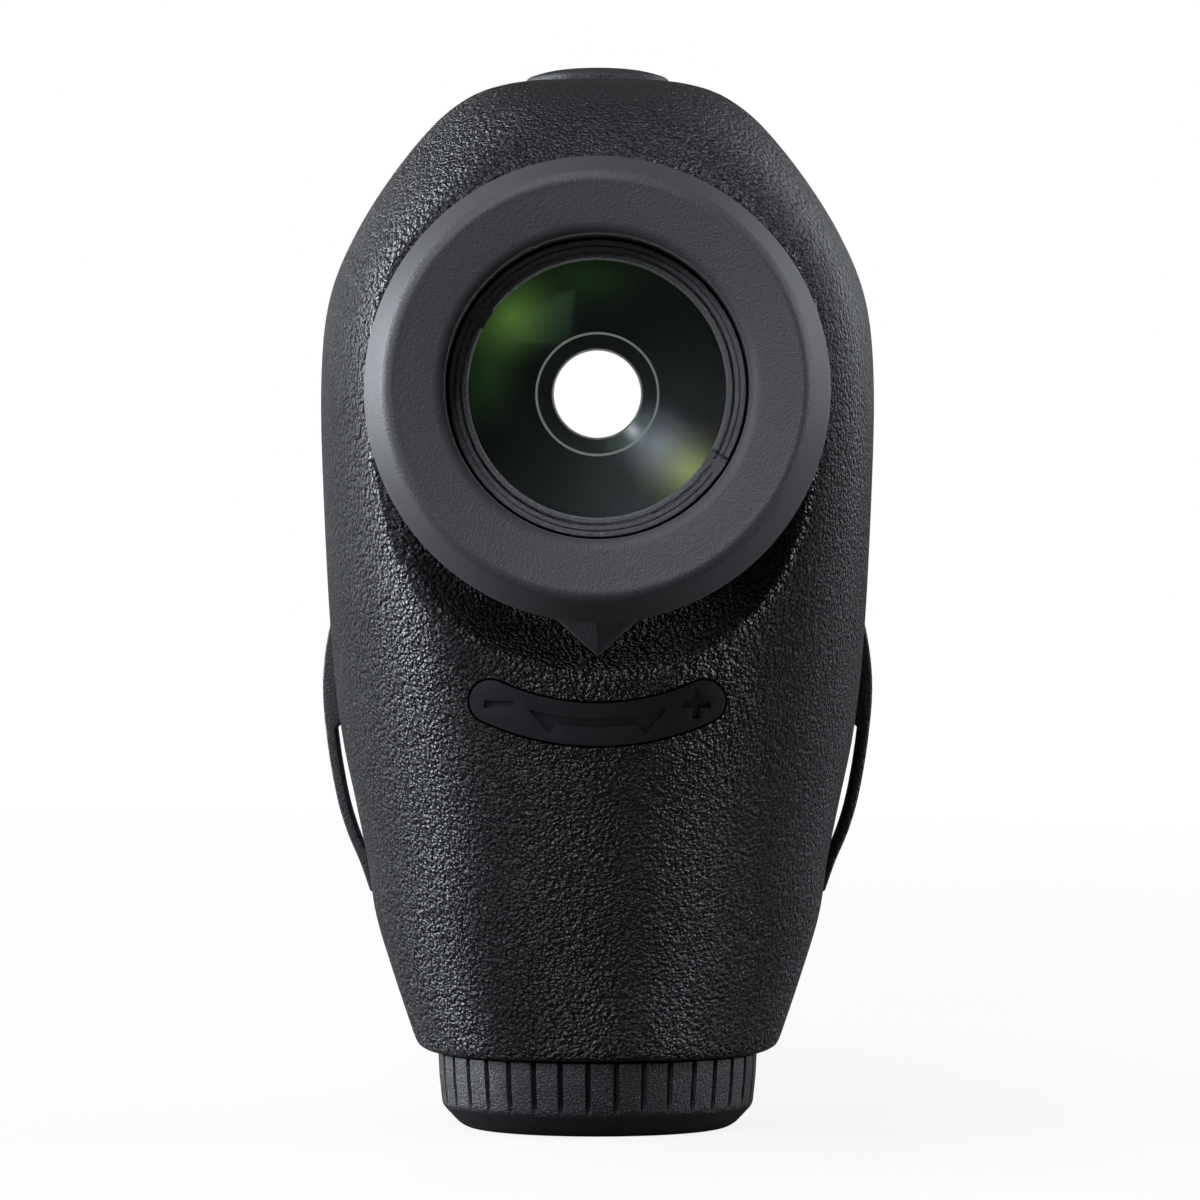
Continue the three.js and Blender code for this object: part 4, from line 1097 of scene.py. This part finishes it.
def build_eyepiece_optics():
    """The eyepiece's lenses, and what is seen through them: the exit pupil's painted glow, the dark sheet of
    painted shade with painted reflections behind it, and a painted glint on the stop's edge.
    """
    build_lens("eye_lens_ground", "eye_lens", "eyepiece", 1.3, 1.8, EYE_Z)
    build_lens("field_lens_ground", "field_lens", "eyepiece", 0.6, 1.2, EYE_Z, "clear_glass")
    pupil = bpy.context.scene.rangefinder_eyepiece.pupil_radius / MM
    # The exit pupil is a disc that glows white. It is painted light standing for the light that comes through
    # the instrument.
    low, high = PUPIL_PLACES
    disc = turned("exit_pupil_painted_glow_disc", [(0, low), (pupil, low), (pupil, high), (0, high)], EYE_CENTRE,
                  close=False)
    finish_piece(disc, material_for("pupil_painted_glow"), "eyepiece")
    # The light trap is a dark sheet of painted shade round the pupil, carrying the painted reflections of the
    # coatings.
    inner, outer = pupil + 0.1, pupil + 0.75
    trap = turned("light_trap_painted_shade_and_reflections", softened([
        (inner, TRAP_START), (inner, TRAP_FACE), (outer, TRAP_FACE), (TRAP_RADIUS, TRAP_RIM),
        (TRAP_RADIUS, TRAP_START)], 0.05, 2), EYE_CENTRE)
    finish_piece(trap, material_for("eyepiece_painted_shade_and_reflections"), "eyepiece")
    # A thin ring that glows pale grey-green just outside the exit pupil: a painted glint on the edge of the
    # stop.
    low, high = GLINT_PLACES
    inner, outer = pupil + 0.76, pupil + 0.86
    glint = turned("stop_edge_painted_glint", softened([(inner, low), (outer, low), (outer, high), (inner, high)], 0.02, 2),
                   EYE_CENTRE)
    finish_piece(glint, material_for("stop_ring_painted_glint"), "eyepiece")


# --- Buttons --------------------------------------------------------------------------------------


def build_button(name, node, body, axis, half, length, flange, face, centre, sign=1):
    """An oval button with a flange, a stem and a low dome."""
    outline = softened([
        (0, flange), (half + 0.85, flange, 0.15), (half + 0.85, flange + 0.9 * sign, 0.15),
        (half, flange + 0.9 * sign, 0.05), (half, face - 0.62 * sign, 0.28),
        (half * 0.72, face - 0.2 * sign, 0.9), (half * 0.35, face - 0.04 * sign, 0.9), (0, face)], 0.1, 4)
    outline = [p for p in outline if p[0] >= 0]
    outline[0], outline[-1] = (0, flange), (0, face)
    bm = bmesh.new()
    turn(bm, outline, steps=96, axis=axis, centre=centre, close=False)
    origin = Vector(centre) * MM
    for vert in bm.verts:
        vert.co.y = origin.y + (vert.co.y - origin.y) * length / half
    finish_piece(loose_object(name, bm), material_for("lug_black"), body, [node], 45)


def build_buttons():
    power_low, power_top = span("power_button", Z)
    build_button("power_button_cap", "power_button", "power_button", "Z", 4.7, 6.6, power_low, power_top,
                 (0, middle("power_button", Y), 0))
    mode_face, mode_back = span("mode_button", X)
    build_button("mode_button_cap", "mode_button", "mode_button", "X", 3.6, 5.4, mode_back, mode_face,
                 (0, middle("mode_button", Y), middle("mode_button", Z)), sign=-1)


# --- Battery cap ----------------------------------------------------------------------------------

CAP_TOP = BODY_BOTTOM - 0.4 * GAP
NECK_RADIUS = 8.75
CUP_RADIUS = 8.1
CUP_FLOOR = 3.0
# Only the wall outside this radius is fluted. The grooves fade in between two heights, and a groove's half
# width is a share of the pitch.
FLUTED_RADIUS = 10.0
FLUTE_FADE = (1.35, 2.3)
FLUTE_HALF = 0.11
STEPS_PER_FLUTE = 18
CAP_TURN = 1.7
# The thread's section as (radius, height), its rise in one turn, and how many turns and steps it has.
THREAD_SECTION = [(8.7, 5.25), (9.05, 5.42), (9.05, 5.58), (8.7, 5.75)]
THREAD_LEAD = 1.5
THREAD_TURNS = 1.6
THREAD_STEPS = 120


def build_battery_cap():
    settings = bpy.context.scene.rangefinder_cap
    outline = softened([
        (0, 0), (8.5, 0, 0.3), (9.1, 0.3, 0.4), (10.22, 1.5, 0.3), (10.42, 3.4, 0.2),
        (CAP_RADIUS, CAP_TOP, 0.08), (NECK_RADIUS, CAP_TOP, 0.05), (NECK_RADIUS, CAP_NECK_TOP, 0.15),
        (CUP_RADIUS, CAP_NECK_TOP, 0.1), (CUP_RADIUS, CUP_FLOOR, 0.2), (0, CUP_FLOOR)], 0.1, 3)
    outline = [p for p in outline if p[0] >= 0]
    outline[0], outline[-1] = (0, 0), (0, CUP_FLOOR)
    bm = bmesh.new()
    turn(bm, outline, steps=settings.flutes * STEPS_PER_FLUTE, axis="Z", close=False)
    walls = [e for e in bm.edges if abs(e.verts[0].co.z - e.verts[1].co.z) > 0.9 * MM
             and min(v.co.xy.length for v in e.verts) > FLUTED_RADIUS * MM]
    bmesh.ops.subdivide_edges(bm, edges=walls, cuts=5, use_grid_fill=True)
    pitch = 2 * math.pi / settings.flutes
    depth = settings.flute_depth
    for vert in bm.verts:
        radius = vert.co.xy.length
        if radius < (FLUTED_RADIUS - 0.1) * MM or vert.co.z > (CAP_TOP + 0.01) * MM:
            continue
        angle = math.atan2(vert.co.y, vert.co.x) / pitch + 0.5
        off_centre = abs(angle - round(angle))
        groove = max(0.0, 1 - off_centre / FLUTE_HALF)
        fade = smoothstep(vert.co.z / MM, *FLUTE_FADE)
        vert.co.xy *= (radius - depth * groove * fade) / radius
    bmesh.ops.rotate(bm, cent=(0, 0, 0), matrix=Matrix.Rotation(math.radians(CAP_TURN), 3, "Z"),
                     verts=bm.verts)
    cap = loose_object("battery_cap_fluted", bm)
    finish_piece(cap, material_for("cap_black"), "battery_cap", ["battery_cap"], 24)

    bm = bmesh.new()
    verts = [bm.verts.new(Vector((r, 0, z)) * MM) for r, z in THREAD_SECTION]
    edges = [bm.edges.new(pair) for pair in zip(verts, verts[1:] + verts[:1])]
    rise = THREAD_LEAD * MM * THREAD_TURNS / THREAD_STEPS
    bmesh.ops.spin(bm, geom=verts + edges, cent=(0, 0, 0), axis=(0, 0, 1), dvec=(0, 0, rise),
                   angle=2 * math.pi * THREAD_TURNS, steps=THREAD_STEPS, use_merge=False,
                   use_duplicate=False)
    bmesh.ops.holes_fill(bm, edges=[e for e in bm.edges if e.is_boundary])
    thread = loose_object("battery_cap_thread", bm)
    finish_piece(thread, material_for("cap_black"), "battery_cap")


# --- Front ----------------------------------------------------------------------------------------

WINDOW_GAP = 0.3
WINDOW_FLARE = 1.3
# A screw's recess: half its reach, half its width and its depth.
RECESS_HALF = 0.9
RECESS_WIDTH = 0.17
RECESS_DEPTH = 0.5


def build_front():
    bm = bmesh.new()
    slab(bm, bezel_outline(0), BEZEL_BACK, BEZEL_FACE)
    bmesh.ops.recalc_face_normals(bm, faces=bm.faces)
    rounded_edges(bm, 0.5, segments=4, angle_deg=40)
    plate = loose_object("front_bezel_plate", bm)
    cuts = []
    panes = (("objective", OBJECTIVE_RADIUS, EYE_Z), ("receiver", RECEIVER_RADIUS, RECEIVER_Z))
    for name, pane, height in panes:
        radius = pane + WINDOW_GAP
        funnel = [(0, 50), (radius, 50), (radius, BEZEL_FACE - 1.0),
                  (radius + WINDOW_FLARE, BEZEL_FACE + 0.3), (0, BEZEL_FACE + 0.3)]
        cuts.append(("DIFFERENCE", turned(f"{name} window", funnel, (0, 0, height), 64)))
    for number in (1, 2):
        x, z = middle(f"bezel_screw_{number}", X), middle(f"bezel_screw_{number}", Z)
        cuts.append(("DIFFERENCE", round_tool("screw sink", 1.9, BEZEL_FACE - 1.1, 70, (x, 0, z))))
        cuts.append(("DIFFERENCE", round_tool("screw hole", 1.05, 50, 70, (x, 0, z))))
    cut_and_join(plate, cuts)
    finish_piece(plate, material_for("gloss_black"), "housing", ["front_bezel"], 30)
    build_lens("receiver_lens_ground", "receiver_lens", "housing", 0.4, 0.8, RECEIVER_Z)
    build_lens("objective_lens_ground", "objective_lens", "housing", 0.6, 1.4, EYE_Z)
    low, high = span("objective_window", Y)
    pane = turned("objective_window_pane", softened([
        (0, low), (OBJECTIVE_RADIUS, low, 0.15), (OBJECTIVE_RADIUS, high, 0.25), (0, high)], 0.0, 3),
        EYE_CENTRE, close=False)
    finish_piece(pane, material_for("coated_glass"), "housing", ["objective_window"], 40)
    for number in (1, 2):
        build_screw(f"bezel_screw_{number}", 1.5, BEZEL_FACE - 0.1, "steel")


def build_screw(node, head, face, slot):
    """A small domed screw with a cross recess, facing forwards."""
    x, z = middle(node, X), middle(node, Z)
    low = span(node, Y)[0]
    screw = turned(f"{node}_turned", softened([
        (0, low), (0.8, low, 0.1), (0.8, face - 0.7, 0.05), (head, face - 0.7, 0.1),
        (head, face - 0.25, 0.25), (head * 0.5, face - 0.02, 0.4), (0, face)], 0.0, 3), (x, 0, z), 48, False)
    cuts = []
    slots = (("slot one", RECESS_HALF, RECESS_WIDTH), ("slot two", RECESS_WIDTH, RECESS_HALF))
    for name, wide, tall in slots:
        bm = bmesh.new()
        box(bm, (x - wide, face - RECESS_DEPTH, z - tall), (x + wide, face + 1, z + tall))
        cuts.append(("DIFFERENCE", loose_object(name, bm)))
    cut_and_join(screw, cuts)
    finish_piece(screw, material_for(slot), "housing", [node], 35)


# --- Inner pieces kept from the frame -------------------------------------------------------------

INNER_FINISHES = {
    "seal_rubber": ["housing_gasket", "eyepiece_o_ring", "power_button_seal", "mode_button_seal",
                    "battery_cap_o_ring"],
    "clear_glass": ["roof_prism", "relay_prism", "display_panel"],
    "inner_plastic": ["prism_holder", "field_stop", "light_baffle", "receiver_funnel", "laser_diode_holder",
                      "battery_tube", "objective_cell", "objective_retaining_ring"],
    "steel": ["chassis_screw_1", "chassis_screw_2", "chassis_screw_3", "chassis_screw_4", "laser_diode",
              "battery_contact_plate", "battery_contact_spring"],
    "black_metal": ["light_detector", "power_switch", "mode_switch"],
    "circuit_green": ["detector_board", "switch_board", "main_circuit_board"],
    "battery_sleeve": ["battery"],
}


def finish_inner_pieces():
    for finish, nodes in INNER_FINISHES.items():
        for node in nodes:
            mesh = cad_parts[node].data
            mesh.materials.clear()
            mesh.materials.append(material_for(finish))


# --- Stage ----------------------------------------------------------------------------------------

CAMERA_X, CAMERA_Z = 0.00016, 0.03466
LIGHT_AIM = (0, 0, 0.036)
LIGHT_COLOUR = (0.9, 0.94, 1.0)
# Each light's name, place and size in metres, and power in watts.
LIGHTS = [
    ("Key left", (-0.6, -0.12, 0.12), (0.14, 0.36), 2.4),
    ("Front fill", (-0.26, -0.7, 0.42), (0.36, 0.36), 3.6),
    ("Top", (-0.1, -0.1, 0.62), (0.3, 0.3), 1.2),
    ("Rim right", (0.55, 0.06, 0.1), (0.12, 0.4), 2.4),
    ("Rim left", (-0.43, 0.28, 0.05), (0.14, 0.4), 3.8),
    ("Far side", (0.34, 0.52, 0.2), (0.3, 0.3), 0.4),
]


def add_light(name, place, size, power):
    """A soft rectangular lamp aimed at the object, all in metres and watts."""
    lamp = bpy.data.lights.new(name, "AREA")
    lamp.shape = "RECTANGLE"
    lamp.size, lamp.size_y = size
    lamp.energy = power
    lamp.color = LIGHT_COLOUR
    holder = bpy.data.objects.new(name, lamp)
    holder.location = place
    holder.rotation_euler = (Vector(LIGHT_AIM) - Vector(place)).to_track_quat("-Z", "Y").to_euler()
    bpy.context.scene.collection.objects.link(holder)


def floor_material(colour):
    """Pale studio floor with a painted glow for camera rays. The glow brightens with distance, so the floor
    is painted a little darker near the object than far away.
    """
    material, tree, shader, where = new_material("Studio floor")
    link = tree.links.new
    shader.inputs["Base Color"].default_value = (*colour, 1)
    shader.inputs["Roughness"].default_value = 0.85
    shader.inputs["Specular IOR Level"].default_value = 0.1
    shader.inputs["Emission Color"].default_value = (1, 1, 1, 1)
    reach = add_node(tree, "ShaderNodeVectorMath", operation="LENGTH")
    link(where, reach.inputs[0])
    # The painted glow is weaker near the object: painted shade round it, over which its real shadow shows.
    rise = add_node(tree, "ShaderNodeMapRange", interpolation_type="SMOOTHSTEP")
    rise.inputs["From Min"].default_value = 0.1
    rise.inputs["From Max"].default_value = 0.9
    rise.inputs["To Min"].default_value = 0.86
    rise.inputs["To Max"].default_value = 1.0
    link(reach.outputs["Value"], rise.inputs["Value"])
    path = add_node(tree, "ShaderNodeLightPath")
    link(maths(tree, "MULTIPLY", rise.outputs["Result"], path.outputs["Is Camera Ray"]),
         shader.inputs["Emission Strength"])
    return material


def build_stage():
    settings = bpy.context.scene.rangefinder_stage
    scene = bpy.context.scene
    bm = bmesh.new()
    bmesh.ops.create_circle(bm, cap_ends=True, radius=6.0, segments=96)
    floor = loose_object("studio_floor", bm)
    floor.data.materials.append(floor_material(tuple(settings.floor_colour)))

    world = bpy.data.worlds.new("Studio")
    world.use_nodes = True
    scene.world = world
    tree = world.node_tree
    background = tree.nodes["Background"]
    background.inputs["Color"].default_value = (1, 1, 1, 1)
    path = add_node(tree, "ShaderNodeLightPath")
    strength = add_node(tree, "ShaderNodeMapRange")
    strength.inputs["To Min"].default_value = 0.05
    strength.inputs["To Max"].default_value = 1.0
    tree.links.new(path.outputs["Is Camera Ray"], strength.inputs["Value"])
    tree.links.new(strength.outputs["Result"], background.inputs["Strength"])

    for name, place, size, power in LIGHTS:
        add_light(name, place, size, power)

    camera = bpy.data.cameras.new("Studio camera")
    camera.lens = settings.lens
    camera.sensor_width = 36.0
    camera.clip_start, camera.clip_end = 0.01, 50.0
    holder = bpy.data.objects.new("Studio camera", camera)
    holder.location = (CAMERA_X, -settings.distance, CAMERA_Z)
    holder.rotation_euler = (math.radians(90), 0, 0)
    scene.collection.objects.link(holder)
    scene.camera = holder
    scene.view_settings.view_transform = "Standard"


# --- Operators ------------------------------------------------------------------------------------


class BuildOperator:
    """Shared by the operators that build one group of pieces."""

    bl_options = {"REGISTER", "UNDO"}
    builders = ()

    def execute(self, context):
        for builder in self.builders:
            builder()
        return {"FINISHED"}


class RANGEFINDER_OT_stage(BuildOperator, bpy.types.Operator):
    """Add the floor, the soft lights, the world and the camera"""

    bl_idname = "rangefinder.stage"
    bl_label = "Studio stage"
    builders = (build_stage,)


class RANGEFINDER_OT_housings(BuildOperator, bpy.types.Operator):
    """Build the rear and front housings' grained skins"""

    bl_idname = "rangefinder.housings"
    bl_label = "Housings"
    builders = (build_rear_housing, build_front_housing)


class RANGEFINDER_OT_flanks(BuildOperator, bpy.types.Operator):
    """Build the two strap lugs and the curved focus plate"""

    bl_idname = "rangefinder.flanks"
    bl_label = "Strap lugs and focus plate"
    builders = (build_strap_lugs, build_scale_plate)


class RANGEFINDER_OT_eyecup(BuildOperator, bpy.types.Operator):
    """Build the eyecup and the focus ring with its pointer"""

    bl_idname = "rangefinder.eyecup"
    bl_label = "Eyecup and focus ring"
    builders = (build_eyecup, build_focus_ring)


class RANGEFINDER_OT_eyepiece(BuildOperator, bpy.types.Operator):
    """Build the eyepiece cell, its rings, its lenses and what shows through them"""

    bl_idname = "rangefinder.eyepiece"
    bl_label = "Eyepiece"
    builders = (build_eyepiece_cell, build_eyepiece_optics)


class RANGEFINDER_OT_buttons(BuildOperator, bpy.types.Operator):
    """Build the power button and the mode button"""

    bl_idname = "rangefinder.buttons"
    bl_label = "Buttons"
    builders = (build_buttons,)


class RANGEFINDER_OT_battery_cap(BuildOperator, bpy.types.Operator):
    """Build the fluted battery cap and its thread"""

    bl_idname = "rangefinder.battery_cap"
    bl_label = "Battery cap"
    builders = (build_battery_cap,)


class RANGEFINDER_OT_front(BuildOperator, bpy.types.Operator):
    """Build the front bezel, windows, lenses and screws"""

    bl_idname = "rangefinder.front"
    bl_label = "Front bezel and windows"
    builders = (build_front,)


class RANGEFINDER_OT_inner(BuildOperator, bpy.types.Operator):
    """Give the pieces inside their finishes"""

    bl_idname = "rangefinder.inner"
    bl_label = "Inner pieces"
    builders = (finish_inner_pieces,)


class RANGEFINDER_PT_panel(bpy.types.Panel):
    """Lists every step of the build and its settings"""

    bl_label = "Laser rangefinder"
    bl_idname = "RANGEFINDER_PT_panel"
    bl_space_type = "VIEW_3D"
    bl_region_type = "UI"
    bl_category = PANEL_TAB

    def draw(self, context):
        for step in STEPS:
            self.layout.operator(step.bl_idname)
        for key, group in SETTINGS.items():
            section = self.layout.box()
            for setting in group.__annotations__:
                section.prop(getattr(context.scene, key), setting)


SETTINGS = {
    "rangefinder_housing": HousingSettings,
    "rangefinder_eyepiece": EyepieceSettings,
    "rangefinder_cap": CapSettings,
    "rangefinder_stage": StageSettings,
}
STEPS = (
    RANGEFINDER_OT_stage,
    RANGEFINDER_OT_housings,
    RANGEFINDER_OT_flanks,
    RANGEFINDER_OT_eyecup,
    RANGEFINDER_OT_eyepiece,
    RANGEFINDER_OT_buttons,
    RANGEFINDER_OT_battery_cap,
    RANGEFINDER_OT_front,
    RANGEFINDER_OT_inner,
)


def register():
    for group in SETTINGS.values():
        bpy.utils.register_class(group)
    for key, group in SETTINGS.items():
        setattr(bpy.types.Scene, key, bpy.props.PointerProperty(type=group))
    for step in STEPS:
        bpy.utils.register_class(step)
    bpy.utils.register_class(RANGEFINDER_PT_panel)


def unregister():
    bpy.utils.unregister_class(RANGEFINDER_PT_panel)
    for step in reversed(STEPS):
        bpy.utils.unregister_class(step)
    for key in SETTINGS:
        delattr(bpy.types.Scene, key)
    for group in reversed(list(SETTINGS.values())):
        bpy.utils.unregister_class(group)


def main():
    """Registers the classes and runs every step."""
    register()
    for step in STEPS:
        group, name = step.bl_idname.split(".")
        getattr(getattr(bpy.ops, group), name)()


if __name__ == "__main__":
    main()
